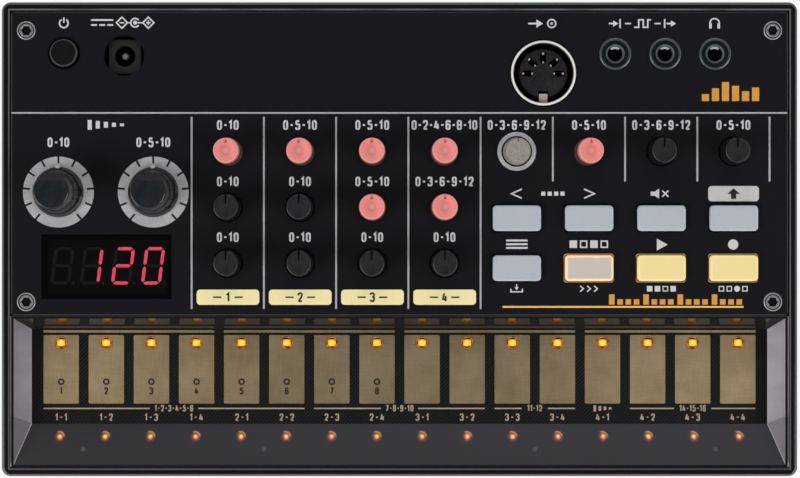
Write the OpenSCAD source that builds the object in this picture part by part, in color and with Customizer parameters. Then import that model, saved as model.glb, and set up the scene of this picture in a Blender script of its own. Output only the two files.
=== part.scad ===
// Desktop drum machine: two-part housing, matt control panel with knobs, buttons, display
// and sockets, a touch strip in a sloped smoked frame, and a battery bay underneath.
// Millimetres. The origin is on the table under the middle of the housing:
// +X to the right, +Y towards the sockets, +Z up.

/* [Housing] */
// Width of the housing
case_w = 193; // [191:0.5:200]
// Depth of the housing, front to back
case_d = 115; // [114:0.5:122]
// Height of the housing without its feet
case_h = 31; // [31:0.5:35]
// Radius of the housing's upright corners
corner_r = 2.2; // [1.6:0.1:3]
// Height of the lower shell
lower_h = 18; // [17.5:0.25:18.5]
// Wall thickness of both shells
wall = 2; // [1.8:0.1:2.1]
// Thickness of the lower shell's floor
floor_t = 2.2; // [1.8:0.1:2.4]
// Radius of the rounded outer edge of the upper rim
rim_round = 0.9; // [0.6:0.1:1.1]
// Bevel along the inside of the upper rim
rim_bevel = 0.35; // [0.2:0.05:0.4]
// Gap between the rim and the panel
rim_gap = 0.3; // [0.2:0.05:0.6]
// Slope of the lower shell's walls, as an offset over their height
draft = 1; // [0.5:0.1:1.2]
// Width of the bevel round the underside
foot_bevel_w = 2.2; // [1:0.1:2.4]
// Height of the bevel round the underside
foot_bevel_h = 2.6; // [1:0.1:3]
// Height of the shadow groove at the parting line
part_groove_h = 0.6; // [0.3:0.1:1]
// Depth of the shadow groove at the parting line
part_groove_d = 0.5; // [0.3:0.1:0.7]
// Diameter of the rubber feet
foot_dia = 10; // [8:0.5:11]
// Height of the feet under the housing
foot_h = 2; // [1.5:0.1:4]
// Distance of the feet from the housing's ends
foot_in_x = 12.5; // [11.5:0.5:13.5]
// Distance of the feet from the housing's front and rear
foot_in_y = 17.5; // [15.5:0.5:19.5]

/* [Panel] */
// Thickness of the panel
panel_t = 1.5; // [1.2:0.1:1.8]
// Bevel round the panel's upper edge
panel_bevel = 0.25; // [0.1:0.05:0.3]
// Drop of the panel under the rim
panel_sink = 0.4; // [0.3:0.1:0.8]
// Thickness of the deck under the panel
deck_t = 2; // [1.6:0.1:2.2]
// Distance of the panel screws from the panel's ends
panel_screw_in = 3.7; // [3.3:0.1:4.2]
// Distance of the front panel screws from the panel's front edge
panel_screw_front = 3.26; // [3:0.02:4]
// Distance of the rear panel screws from the panel's rear edge
panel_screw_rear = 4.6; // [4:0.1:5]
// Diameter of the panel screws' heads
panel_screw_dia = 4.5; // [4:0.1:5]

/* [Knobs and buttons] */
// Place of the first control column, from the middle
col_first = -41.64; // [-42:0.02:-41]
// Pitch of the control columns
col_pitch = 17.515; // [17.4:0.005:17.6]
// Distance of the lowest knob row from the panel's front edge
row_first = 12.66; // [12:0.02:13]
// Pitch of the knob rows
row_pitch = 13.55; // [13.3:0.05:13.8]
// Diameter of a small knob at the panel
knob_dia = 6.7; // [6:0.1:7]
// Diameter of a small knob at its top
knob_top_dia = 5.96; // [5:0.02:6]
// Height of a small knob over the panel
knob_h = 7.9; // [6:0.1:9]
// Diameter of a large knob at its foot
dial_dia = 12; // [11:0.1:13]
// Diameter of a large knob at its top
dial_top_dia = 8.2; // [8:0.1:9]
// Height of a large knob over the panel
dial_h = 13.4; // [12:0.1:15]
// Distance between the two large knobs
dial_pitch = 23; // [22:0.1:24]
// Place of the point midway between the large knobs
dial_mid_x = -71.2; // [-72:0.1:-70.6]
// Distance of the large knobs from the panel's front edge
dial_y = 29.9; // [29:0.1:30.5]
// Diameter of the large knobs' shafts
shaft_dia = 6; // [5:0.1:6.2]
// Length of a button
button_w = 11.7; // [10:0.1:12]
// Width of a button
button_d = 6.4; // [5:0.1:6.6]
// Corner radius of a button
button_r = 0.75; // [0.5:0.05:1.5]
// Height of a button over the panel
button_h = 1.6; // [1.2:0.1:2.5]
// Travel of a button
button_travel = 0.6; // [0.3:0.1:0.8]
// Distance of the lower button row from the panel's front edge
button_row_first = 11.46; // [11:0.02:12]
// Pitch of the button rows
button_row_pitch = 12.1; // [11.8:0.1:12.4]

/* [Display] */
// Width of the display's window
window_w = 31.5; // [30.5:0.5:32]
// Height of the display's window
window_d = 15.6; // [15:0.1:16]
// Place of the window's middle
window_x = -71.05; // [-72:0.05:-70.5]
// Distance of the window's middle from the panel's front edge
window_y = 11.8; // [11:0.1:12]
// Height of a digit
digit_h = 9.35; // [8:0.05:10]
// Width of a digit
digit_w = 5.2; // [4.5:0.1:5.6]
// Pitch of the digits
digit_pitch = 7.23; // [6.9:0.01:7.3]
// Width of a segment
segment_w = 0.85; // [0.6:0.05:1.1]
// Lean of the digits in degrees
digit_lean = 7; // [0:1:10]

/* [Touch strip] */
// Depth of the touch strip under the panel
strip_depth = 7; // [6.5:0.1:7.4]
// Front-to-back opening of the sloped frame at the top
strip_d = 35.5; // [35:0.1:36]
// Width of the frame's front land
strip_front = 2.8; // [2.6:0.1:3]
// Width of the frame's end lands
strip_end = 3; // [2.8:0.1:3.4]
// Run of the rear slope
slope_rear = 2.86; // [2:0.02:3]
// Run of the end slopes
slope_end = 3.3; // [2.5:0.1:3.6]
// Run of the front slope
slope_front = 9.4; // [8.6:0.1:10]
// Thickness of the sloped walls
slope_wall = 1.4; // [1.1:0.1:1.6]
// Number of touch pads
pad_count = 16; // [8:1:16]
// Pitch of the touch pads
pad_pitch = 11.065; // [10.6:0.005:11.1]
// Width of a touch pad
pad_w = 8.66; // [7.5:0.02:9.5]
// Length of a touch pad
pad_d = 16.8; // [15:0.1:18]
// Diameter of the hole for the lamp in a pad
pad_hole = 3.2; // [2.8:0.1:3.6]
// Side of a lamp
lamp_w = 1.76; // [1.4:0.02:1.9]

/* [Sockets] */
// Distance of the 3.5 mm sockets from the panel's rear edge
jack_rear = 10.25; // [10:0.05:11]
// Place of the first 3.5 mm socket
jack_first = 52.3; // [52:0.1:53]
// Pitch of the 3.5 mm sockets
jack_pitch = 12.1; // [11.5:0.1:12.4]
// Bore of a 3.5 mm socket
jack_bore = 3.56; // [3.54:0.01:3.6]
// Depth of a 3.5 mm socket
jack_depth = 14; // [12:0.5:14.5]
// Diameter of a 3.5 mm socket's collar
jack_collar = 7.9; // [7:0.1:8.2]
// Place of the round five-pole socket
midi_x = 34.9; // [34:0.1:36]
// Distance of the five-pole socket from the panel's rear edge
midi_rear = 14.9; // [14.5:0.1:15.3]
// Outer diameter of the five-pole socket's shell
midi_dia = 15.86; // [15:0.02:16.2]
// Inner diameter of the five-pole socket's shell
midi_bore = 14.4; // [14:0.1:14.6]
// Diameter of the five-pole socket's insulator
midi_core = 11.9; // [11.5:0.1:12.2]
// Place of the power inlet
dc_x = -66.8; // [-68:0.1:-66]
// Bore of the power inlet
dc_bore = 5.6; // [5.5:0.05:6]
// Diameter of the power inlet's centre pin
dc_pin_dia = 1.65; // [1.3:0.05:2.1]
// Distance of the power button from the panel's end
power_in = 12.8; // [12.2:0.1:14.2]
// Diameter of the power button
power_dia = 6.8; // [6:0.1:7.2]
// Travel of the power button
power_travel = 1.6; // [1:0.1:1.8]

/* [Battery bay] */
// Diameter of a battery cell
cell_dia = 14.2; // [14:0.1:14.3]
// Length of a battery cell without its nose
cell_l = 49.2; // [48.5:0.1:49.3]
// Middle of the battery bay, side to side
bay_x = 14; // [14:0.5:20]
// Middle of the battery bay, front to back
bay_y = -20; // [-21:0.5:-18]
// Thickness of the bay's walls
bay_wall = 1.6; // [1.2:0.1:1.7]
// Thickness of the battery door
door_t = 2; // [1.6:0.1:2.1]
// Middle of the loudspeaker, side to side
speaker_x = -63.3; // [-64:0.1:-63]
// Middle of the loudspeaker, front to back
speaker_y = -20; // [-24:0.5:-14]
// Diameter of the loudspeaker
speaker_dia = 38; // [36:0.5:39]

/* [Hidden] */
$fn = 64;

// Running and fitting clearances
fit = 0.1;              // between pieces that are set into each other
gap = 0.3;              // between pieces that move past each other
running = 0.06;         // radial, between a spindle and its bearing

// Levels, from the table up
case_bottom = foot_h;
floor_top = case_bottom + floor_t;
split_z = case_bottom + lower_h;
case_top = case_bottom + case_h;
panel_top = case_top - panel_sink;
panel_bottom = panel_top - panel_t;
deck_bottom = panel_bottom - deck_t;
pot_h = 4.8;
pot_top = deck_bottom - gap;
board_t = 1.6;
board_top = pot_top - pot_h;
board_bottom = board_top - board_t;
strip_top = panel_top - strip_depth;
strip_board_bottom = strip_top - board_t;
bezel_top = case_top - fit;
flange_bottom = case_top - 2.6;

// Edges of the panel and of the deck under it
panel_inset = wall + rim_gap;
panel_rear = case_d / 2 - panel_inset;
strip_front_y = -case_d / 2 + strip_front;
strip_rear_y = strip_front_y + strip_d;
panel_front = strip_rear_y + 0.74;
panel_half_w = case_w / 2 - panel_inset;
deck_front = panel_front + fit;

// Inner faces of the upper shell
inner_x = case_w / 2 - wall;
inner_y = case_d / 2 - wall;

// Inner faces of the lower shell
lower_inner_x = case_w / 2 - wall - draft;
lower_inner_y = case_d / 2 - wall - draft;

// Edges of the touch strip's floor
floor_half_x = case_w / 2 - strip_end - slope_end;
floor_rear = strip_rear_y - slope_rear;
floor_front = strip_front_y + slope_front;
slope_h = bezel_top - strip_top;

// The places of the controls are those on a housing 193 wide with a panel 73.66 deep,
// and they spread with both
spread_x = case_w / 193;
spread_y = (panel_rear - panel_front) / 73.66;

// Places of the controls
KNOB_NAMES = [
  "kick_click_knob", "snare_snappy_knob", "tom_high_pitch_knob", "hat_closed_decay_knob",
  "kick_pitch_knob", "snare_pitch_knob", "tom_low_pitch_knob", "hat_open_decay_knob",
  "kick_decay_knob", "snare_decay_knob", "tom_decay_knob", "hat_grain_knob",
  "sample_speed_knob", "tempo_knob", "part_level_knob", "volume_knob"
];
BUTTON_NAMES = [
  "part_down_button", "part_up_button", "mute_button", "shift_button",
  "memory_button", "step_mode_button", "play_button", "record_button"
];
columns_left = 4;
function column_x(i) = spread_x * (col_first + i * col_pitch);
function row_y(i) = panel_front + spread_y * (row_first + (2 - i) * row_pitch);
// Three rows of four knobs, then four more knobs on the first row
function knob_at(n) =
  n < 3 * columns_left
    ? [column_x(n % columns_left), row_y(floor(n / columns_left))]
    : [column_x(n - 2 * columns_left), row_y(0)];
function button_at(n) = [
  column_x(columns_left + n % columns_left),
  panel_front + spread_y * (button_row_first + (n < columns_left ? button_row_pitch : 0))
];
time_at = [spread_x * (dial_mid_x - dial_pitch / 2), panel_front + spread_y * dial_y];
depth_at = [spread_x * (dial_mid_x + dial_pitch / 2), panel_front + spread_y * dial_y];
window_at = [spread_x * window_x, panel_front + spread_y * window_y];
jack_y = panel_rear - spread_y * jack_rear;
function jack_at(n) = [spread_x * (jack_first + n * jack_pitch), jack_y];
midi_at = [spread_x * midi_x, panel_rear - spread_y * midi_rear];
dc_at = [spread_x * dc_x, jack_y - 0.4];
power_at = [power_in - panel_half_w, jack_y + 0.2];
function pad_x(n) = spread_x * (n - (pad_count - 1) / 2) * pad_pitch;
pad_rear = floor_rear - 1.44;
pad_lamp_y = pad_rear - 1.9;
slope_lamp_y = floor_front - 2.9;

// Small knobs and their potentiometers
spindle_r = 1.5;
pot_w = 9.5;
collar_bottom = pot_top + fit;
knob_bevel = 0.4;
notch_w = 0.55;
notch_l = 1.9;
notch_d = 1.2;

// Large knobs, their shafts and potentiometers
dial_pot_w = 12;
bushing_r = shaft_dia / 2 + 0.9;
bushing_h = 2.8;
dial_bottom = panel_top + 0.6;
dial_top = panel_top + dial_h;
dial_skirt_h = 1;
shaft_top = dial_top - 2.5;
flat_h = 9;
flat_depth = 1.5;
dial_chord = 1.94;
dial_chord_angle = 15.6;
dial_chord_h = 9.8;
pointer_w = 0.9;

// Buttons and their switches
flange_w = button_w + 2;
flange_d = button_d + 2;
flange_t = 0.9;
flange_top = deck_bottom - fit;
stem_r = 1.6;
switch_w = 6;
switch_h = flange_top - flange_t - button_travel - gap - board_top;
switch_floor = board_top + 0.6;
stem_bottom = switch_floor + button_travel + gap;

// Sockets on their own board
socket_board_top = case_top - 17;
socket_body_top = deck_bottom - fit;
socket_board_left = power_at[0] - 5.1;
socket_board_right = jack_at(2)[0] + 8;
socket_board_front = midi_at[1] - 9.1;
socket_board_rear = lower_inner_y - 0.4;
jack_body = [9, 11];
jack_top = panel_top + 0.1;
jack_mouth = 0.5;
midi_body = 17;
midi_flange_top = socket_board_top + 5;
midi_face = panel_top - 1.2;
midi_pin_r = 3.5;
midi_key = [2.1, 2.6];
dc_body = 9;
dc_top = panel_bottom - 0.5;
dc_floor = socket_board_top + 5;
power_switch_w = 7;
power_switch_h = 8;
power_cap_top = panel_top + 1.1;
power_cap_bottom = socket_board_top + power_switch_h + power_travel + 0.6;
power_stem_w = 2.6;

// Battery bay, seen from below
cell_pitch = cell_dia + 0.8;
cell_rows = 3;
nose_l = 1.3;
nose_r = 2.7;
contact_t = 0.4;
spring_l = 3.6;
bump_l = 0.8;
row_l = 2 * (cell_l + nose_l) + fit;
bay_l = row_l + spring_l + bump_l + 2 * contact_t;
bay_d = cell_rows * cell_pitch + 0.6;
bay_left = bay_x - bay_l / 2;
bay_right = bay_x + bay_l / 2;
cell_z = floor_top + 0.3 + cell_dia / 2;
bay_top = cell_z + cell_dia / 2 + 0.3;
door_ledge = 1.5;
door_w = bay_l + 2 * door_ledge;
door_d = bay_d + 2 * door_ledge;

// Screws
case_screw_in = [7.5, 7];
case_screw_mid_x = 55;
case_screw_head_z = case_bottom + 10;
pilot_r = 1.25;
thread_r = 1.2;
column_r = 3.8;
counterbore_r = 2.8;
boss_r = 3.4;
post_r = 3;
small_thread_r = 0.95;
small_head_r = 2.2;
small_head_h = 1.2;
panel_bite = 3.6;
frame_bite = 2.2;
post_bite = 6;
panel_screw_points = [
  for (x = [-1, 1], y = [panel_front + panel_screw_front, panel_rear - panel_screw_rear])
    [x * (panel_half_w - panel_screw_in), y]
];
case_screw_x = case_w / 2 - case_screw_in[0];
case_screw_y = case_d / 2 - case_screw_in[1];
case_screw_rear = [for (x = [-1, 1]) [x * case_screw_x, case_screw_y]];
case_screw_front = [
  for (x = [-case_screw_x, -case_screw_mid_x, case_screw_mid_x, case_screw_x])
    [x, -case_screw_y]
];
web_t = 1.6;
board_screw_y = (row_y(0) + row_y(1)) / 2;
board_screw_points = [
  [spread_x * dial_mid_x, panel_front + spread_y * (dial_y + 9.5)],
  [(column_x(-1) + column_x(0)) / 2, board_screw_y],
  [(column_x(1) + column_x(2)) / 2, board_screw_y],
  [(column_x(3) + column_x(4)) / 2, board_screw_y],
  [(column_x(5) + column_x(6)) / 2, board_screw_y]
];
socket_screw_points = [
  [power_at[0] + 7.4, socket_board_front + 5.5],
  [-spread_x * 30, jack_y], [spread_x * 12, jack_y],
  [jack_at(2)[0] - 6.4, socket_board_front + 4.5]
];
strip_screw_y = floor_front - 5.8;
strip_screw_x = [-77, -33, 33, 77];
strip_screw_points = [for (x = strip_screw_x) [spread_x * x, strip_screw_y]];
foot_points = [for (x = [-1, 1], y = [-1, 1]) [x * (case_w / 2 - foot_in_x), y * (case_d / 2 - foot_in_y)]];
foot_seat = 0.6;

// ---- Shapes that several pieces share ----

module at(p, z = 0) translate([p[0], p[1], z]) children();

module at_each(points, z = 0) for (p = points) at(p, z) children();

module rounded_rect(w, d, r) {
  square([w - 2 * r, d], center = true);
  square([w, d - 2 * r], center = true);
  for (x = [-1, 1], y = [-1, 1])
    translate([x * (w / 2 - r), y * (d / 2 - r)]) circle(r);
}

// A box between two corners
module span(low, high) translate(low) cube(high - low);

// Profiles drawn in XZ or YZ and run along the other axis
module along_y(length) rotate([90, 0, 0]) linear_extrude(length, center = true) children();

module along_x(length) rotate([90, 0, 90]) linear_extrude(length, center = true) children();

// A closed profile from its right-hand side, bottom to top
function both_sides(right) =
  concat(right, [for (i = [len(right) - 1 : -1 : 0]) [-right[i][0], right[i][1]]]);

// A plate with rounded corners and a bevel round its upper face
module bevelled_plate(w, d, r, z0, z1, bevel) {
  function side(half) = [[half, z0], [half, z1 - bevel], [half - bevel, z1]];
  intersection() {
    translate([0, 0, z0]) linear_extrude(z1 - z0) rounded_rect(w, d, r);
    along_y(d + 2) polygon(both_sides(side(w / 2)));
    along_x(w + 2) polygon(both_sides(side(d / 2)));
  }
}

// ---- Housing ----

// The housing's outer form, from a profile over its width and one over its depth
module case_form() {
  intersection() {
    linear_extrude(case_top + 1) rounded_rect(case_w, case_d, corner_r);
    along_y(case_d + 2) children(0);
    along_x(case_w + 2) children(1);
  }
}

function lower_side(half) = [
  [half - draft - foot_bevel_w, case_bottom],
  [half - draft, case_bottom + foot_bevel_h],
  [half, split_z - part_groove_h],
  [half - part_groove_d, split_z - part_groove_h],
  [half - part_groove_d, split_z]
];

// Side view of the upper shell, with its rounded upper edges
module upper_profile(half) {
  mid = half - rim_round;
  translate([-half, split_z]) square([2 * half, case_top - rim_round - split_z]);
  translate([-mid, split_z]) square([2 * mid, case_top - split_z]);
  for (s = [-1, 1]) translate([s * mid, case_top - rim_round]) circle(rim_round);
}

// What is taken off an upright corner to carry the rounded edge round it
module corner_rounding() {
  mid = corner_r - rim_round;
  rotate_extrude(angle = 90) difference() {
    translate([mid, case_top - rim_round]) square(rim_round + 1);
    translate([mid, case_top - rim_round]) circle(rim_round);
  }
}

module upper_form() {
  difference() {
    case_form() {
      upper_profile(case_w / 2);
      upper_profile(case_d / 2);
    }
    for (x = [0, 1], y = [0, 1]) mirror([x, 0, 0]) mirror([0, y, 0])
      translate([case_w / 2 - corner_r, case_d / 2 - corner_r, 0]) corner_rounding();
  }
}

// What is taken off the inside of the rim for its bevel
module rim_flare() {
  function side(half) = [[half, case_top - rim_bevel], [half + rim_bevel + 1, case_top + 1]];
  intersection() {
    along_y(case_d + 2) polygon(both_sides(side(inner_x)));
    along_x(case_w + 2) polygon(both_sides(side(inner_y)));
  }
}

// Tongue that centres the upper shell, one bar along each wall
module lower_tongue() {
  tongue_t = 1;
  tongue_h = 2;
  end_gap = 16;
  difference() {
    for (y = [-1, 1])
      translate([0, y * (inner_y - fit - tongue_t / 2), split_z])
        cube([case_w - 2 * end_gap, tongue_t, 2 * tongue_h], center = true);
    // Gaps for the webs of the front bosses
    at_each(case_screw_front, split_z) translate([0, 0, tongue_h])
      cube([web_t + 2 * gap, 4 * case_screw_in[1], 2 * tongue_h], center = true);
  }
  for (x = [-1, 1])
    translate([x * (inner_x - fit - tongue_t / 2), 0, split_z])
      cube([tongue_t, case_d - 2 * end_gap, 2 * tongue_h], center = true);
}

// Walls and roof of the battery bay, with a collar on the floor
module bay_walls() {
  collar_h = 1.6;
  span([bay_left - bay_wall, bay_y - bay_d / 2 - bay_wall, floor_top - 0.5],
       [bay_right + bay_wall, bay_y + bay_d / 2 + bay_wall, bay_top + bay_wall]);
  translate([bay_x, bay_y, floor_top - 0.5])
    linear_extrude(collar_h + 0.5)
      rounded_rect(door_w + 2 * bay_wall, door_d + 2 * bay_wall, 2);
}

// Hollow of the bay: the room for the cells and the wider seat of the door
module bay_hollow() {
  span([bay_left, bay_y - bay_d / 2, case_bottom - 1],
       [bay_right, bay_y + bay_d / 2, bay_top]);
  translate([bay_x, bay_y, case_bottom - 1])
    linear_extrude(floor_t + 1) rounded_rect(door_w + 2 * gap, door_d + 2 * gap, 1.6);
}

// Cradles that keep the cells apart
module cell_cradles() {
  cradle_t = 1.6;
  difference() {
    for (side = [-1, 1])
      translate([bay_x + side * bay_l / 4, bay_y, (cell_z + bay_top) / 2 + 1])
        cube([cradle_t, bay_d + 0.2, bay_top - cell_z], center = true);
    for (row = [-1 : 1])
      translate([bay_x, bay_y + row * cell_pitch, cell_z])
        rotate([0, 90, 0]) cylinder(h = bay_l, r = cell_dia / 2 + 0.2, center = true);
  }
}

// Rings of holes under the loudspeaker
module speaker_grille() {
  ring_pitch = 4;
  hole_r = 1;
  for (ring = [0 : 3], i = [0 : max(6 * ring, 1) - 1])
    translate([speaker_x, speaker_y, case_bottom - 1])
      rotate([0, 0, i * 60 / max(ring, 1)]) translate([ring * ring_pitch, 0, 0])
        cylinder(h = floor_t + 2, r = hole_r);
}

module lower_case() {
  screws = concat(case_screw_front, case_screw_rear);
  rib_t = 1.2;
  rib_h = 2;
  color("#1b1b1e") difference() {
    union() {
      difference() {
        case_form() {
          polygon(both_sides(lower_side(case_w / 2)));
          polygon(both_sides(lower_side(case_d / 2)));
        }
        span([-lower_inner_x, -lower_inner_y, floor_top],
             [lower_inner_x, lower_inner_y, split_z + 1]);
      }
      lower_tongue();
      bay_walls();
      // Seat ring of the loudspeaker
      translate([speaker_x, speaker_y, floor_top - 0.5]) difference() {
        cylinder(h = 4, r = speaker_dia / 2 + gap + 1.4);
        cylinder(h = 5, r = speaker_dia / 2 + gap);
      }
      at_each(screws, case_bottom + 1) cylinder(h = lower_h - 1, r = column_r);
      at_each(socket_screw_points, case_bottom + 1)
        cylinder(h = socket_board_top - board_t - case_bottom - 1, r = post_r);
      // Stiffening ribs of the floor behind the bay
      for (x = [-54, -8, 30, 62])
        span([x - rib_t / 2, bay_y + door_d / 2 + 2, floor_top - 0.5],
             [x + rib_t / 2, lower_inner_y + 0.5, floor_top + rib_h]);
    }
    bay_hollow();
    speaker_grille();
    at_each(screws, case_bottom - 1) cylinder(h = lower_h + 2, r = thread_r + 0.4);
    at_each(screws, case_bottom - 1) cylinder(h = case_screw_head_z - case_bottom + 1, r = counterbore_r);
    at_each(socket_screw_points, socket_board_top - board_t - 8) cylinder(h = 9, r = small_thread_r + 0.05);
    at_each(foot_points, case_bottom - 1) cylinder(h = 1 + foot_seat, r = foot_dia / 2 + fit);
    // Finger scoop beside the door's latch
    translate([bay_x + door_w / 2 + 2, bay_y, case_bottom - 4.4])
      rotate([90, 0, 0]) cylinder(h = 14, r = 5.6, center = true);
  }
  color("#1b1b1e") cell_cradles();
}

// Holes for the controls and sockets, as deep as the caller needs; grow widens each of them
module control_openings(grow) {
  for (n = [0 : len(KNOB_NAMES) - 1]) at(knob_at(n)) circle(knob_dia / 2 + gap + grow);
  for (n = [0 : len(BUTTON_NAMES) - 1])
    at(button_at(n)) rounded_rect(button_w + 2 * (gap + grow), button_d + 2 * (gap + grow), button_r + grow);
  at(time_at) circle(bushing_r + 0.4 + grow);
  at(depth_at) circle(bushing_r + 0.4 + grow);
  for (n = [0 : 2]) at(jack_at(n)) circle(jack_collar / 2 + 0.2 + grow);
  at(midi_at) circle(midi_dia / 2 + 0.25 + grow);
  at(power_at) circle(power_dia / 2 + 0.5 + grow);
}

// Boss with webs that tie it to the front wall and, near a corner, to the side wall
module front_boss(p) {
  height = strip_board_bottom - 0.3 - split_z;
  at(p, split_z) cylinder(h = height, r = boss_r);
  span([p[0] - web_t / 2, -inner_y - 0.5, split_z], [p[0] + web_t / 2, p[1], split_z + height]);
  if (abs(p[0]) > case_w / 3) {
    side = sign(p[0]);
    span([min(p[0], side * (inner_x + 0.5)), p[1] - web_t / 2, split_z],
         [max(p[0], side * (inner_x + 0.5)), p[1] + web_t / 2, split_z + height]);
  }
}

module upper_case() {
  ledge_w = 0.6;
  ledge_t = 1.5;
  rib_t = 1.5;
  difference() {
    color("#141417") union() {
      difference() {
        upper_form();
        // Room under the deck
        span([-inner_x, -inner_y, split_z - 1], [inner_x, inner_y, deck_bottom]);
        // Open bay of the touch strip
        span([-inner_x, -inner_y, split_z - 1], [inner_x, deck_front, case_top + 1]);
      }
      // Ledge that carries the smoked frame, front and ends
      span([-inner_x - 0.5, -inner_y - 0.5, flange_bottom - ledge_t],
           [inner_x + 0.5, -inner_y + ledge_w, flange_bottom]);
      for (x = [-1, 1])
        translate([x * (inner_x - ledge_w / 2 + 0.25), (deck_front - inner_y) / 2,
                   flange_bottom - ledge_t / 2])
          cube([ledge_w + 0.5, deck_front + inner_y, ledge_t], center = true);
      // Stiffening rib along the deck's front edge
      span([-inner_x - 0.5, deck_front, board_top + 0.3],
           [inner_x + 0.5, deck_front + rib_t, deck_bottom + 0.5]);
      for (p = case_screw_front) front_boss(p);
      at_each(case_screw_rear, split_z) cylinder(h = deck_bottom + 0.5 - split_z, r = boss_r);
      at_each(panel_screw_points, board_top + 0.3) cylinder(h = deck_t + pot_h, r = post_r);
      at_each(board_screw_points, board_top) cylinder(h = deck_bottom + 0.5 - board_top, r = 2.4);
    }
    // Seat of the panel
    span([-inner_x, panel_front - 0.05, panel_bottom], [inner_x, inner_y, case_top + 1]);
    rim_flare();
    translate([0, 0, deck_bottom - 0.5]) linear_extrude(deck_t + 1) {
      control_openings(0.3);
      at(dc_at) square(dc_body + 2 * gap, center = true);
      at(window_at) square([window_w - 2, window_d - 2], center = true);
    }
    at_each(panel_screw_points, board_top + 1.4) cylinder(h = 10, r = pilot_r);
    at_each(concat(case_screw_front, case_screw_rear), split_z - 1)
      cylinder(h = strip_board_bottom - 0.6 - split_z + 1, r = pilot_r);
    at_each(board_screw_points, board_top - 1) cylinder(h = 5, r = small_thread_r + 0.05);
  }
}

// ---- Touch strip ----

// The sloped tray, grown outwards by a wall; it widens upwards on all four sides
module tray_form(grow, z0, z1) {
  function x_at(z) = floor_half_x + (z - strip_top) * slope_end / slope_h + grow;
  function rear_at(z) = floor_rear + (z - strip_top) * slope_rear / slope_h + grow;
  function front_at(z) = floor_front - (z - strip_top) * slope_front / slope_h - grow;
  intersection() {
    along_y(case_d) polygon([[-x_at(z0), z0], [x_at(z0), z0], [x_at(z1), z1], [-x_at(z1), z1]]);
    along_x(case_w) polygon([[front_at(z0), z0], [rear_at(z0), z0], [rear_at(z1), z1], [front_at(z1), z1]]);
  }
}

module touch_bezel() {
  front = -inner_y + fit;
  rear = panel_front - 0.05;
  module outside(z0) translate([0, (front + rear) / 2, 0])
    bevelled_plate(2 * (inner_x - fit), rear - front, 0.4, z0, bezel_top, 0.3);
  color("#26262a") difference() {
    union() {
      outside(flange_bottom);
      intersection() {
        tray_form(slope_wall, strip_top, bezel_top);
        outside(strip_top);
      }
      at_each(strip_screw_points, strip_top) cylinder(h = flange_bottom - strip_top, r = 1.8);
    }
    tray_form(0, strip_top - 1, case_top + 1);
    at_each(strip_screw_points, strip_top - 1) cylinder(h = 3.4, r = small_thread_r + 0.05);
  }
}

module touch_board() {
  side = floor_half_x + slope_wall + 0.4;
  color("#101012") difference() {
    span([-side, strip_screw_y - 1.9, strip_board_bottom], [side, floor_rear + slope_wall, strip_top]);
    at_each(strip_screw_points, strip_board_bottom - 1) cylinder(h = board_t + 2, r = small_thread_r + 0.25);
  }
}

module touch_pads() {
  pad_t = 0.15;
  bar_d = 0.6;
  group = 4;
  color("#8a7a5f") {
    for (n = [0 : pad_count - 1]) difference() {
      translate([pad_x(n), pad_rear - pad_d / 2, strip_top])
        linear_extrude(pad_t) rounded_rect(pad_w, pad_d, 0.3);
      translate([pad_x(n), pad_lamp_y, strip_top - 1]) cylinder(h = 2, r = pad_hole / 2);
    }
    for (g = [0 : floor(pad_count / group) - 1])
      span([pad_x(g * group) - pad_w / 2, pad_rear + 0.6, strip_top],
           [pad_x(g * group + group - 1) + pad_w / 2, pad_rear + 0.6 + bar_d, strip_top + pad_t]);
  }
}

module touch_lamps() {
  lamp_t = 0.5;
  color("#ffd040") for (n = [0 : pad_count - 1], y = [pad_lamp_y, slope_lamp_y])
    translate([pad_x(n), y, strip_top + lamp_t / 2]) cube([lamp_w, lamp_w, lamp_t], center = true);
}

// ---- Panel ----

module faceplate() {
  head_d = 0.9;
  color("#1b1b20") difference() {
    translate([0, (panel_front + panel_rear) / 2, 0])
      bevelled_plate(2 * panel_half_w, panel_rear - panel_front, 0.9, panel_bottom, panel_top, panel_bevel);
    translate([0, 0, panel_bottom - 1]) linear_extrude(panel_t + 2) {
      control_openings(0);
      at(dc_at) circle(4.9);
      at(window_at) square([window_w + fit, window_d + fit], center = true);
    }
    at_each(panel_screw_points, panel_bottom - 1) cylinder(h = 4, r = thread_r + 0.3);
    at_each(panel_screw_points, panel_top - head_d) cylinder(h = 2, r = panel_screw_dia / 2 + fit);
  }
}

module panel_screws() {
  head_bottom = panel_top - 0.9;
  color("#3a3a3e") at_each(panel_screw_points) difference() {
    union() {
      translate([0, 0, head_bottom]) cylinder(h = 1.2, r = panel_screw_dia / 2);
      translate([0, 0, board_top + 2]) cylinder(h = head_bottom - board_top - 2, r = thread_r);
    }
    // Hexagon socket
    translate([0, 0, panel_top - 0.5]) cylinder(h = 2, r = 1.35, $fn = 6);
  }
}

module display_window() {
  color("#0c0e0e") at(window_at, panel_bottom)
    linear_extrude(panel_t - 0.1) square([window_w, window_d], center = true);
}

module display_module() {
  color("#101010") at(window_at, board_top)
    linear_extrude(panel_bottom - 0.4 - board_top)
      square([window_w - 2 - 2 * gap, window_d - 2 - 2 * gap], center = true);
}

// Seven segments of one digit, leaning to the right; a digit grows with its window
digit_grow = [window_w / 31.5, window_d / 15.6];

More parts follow.
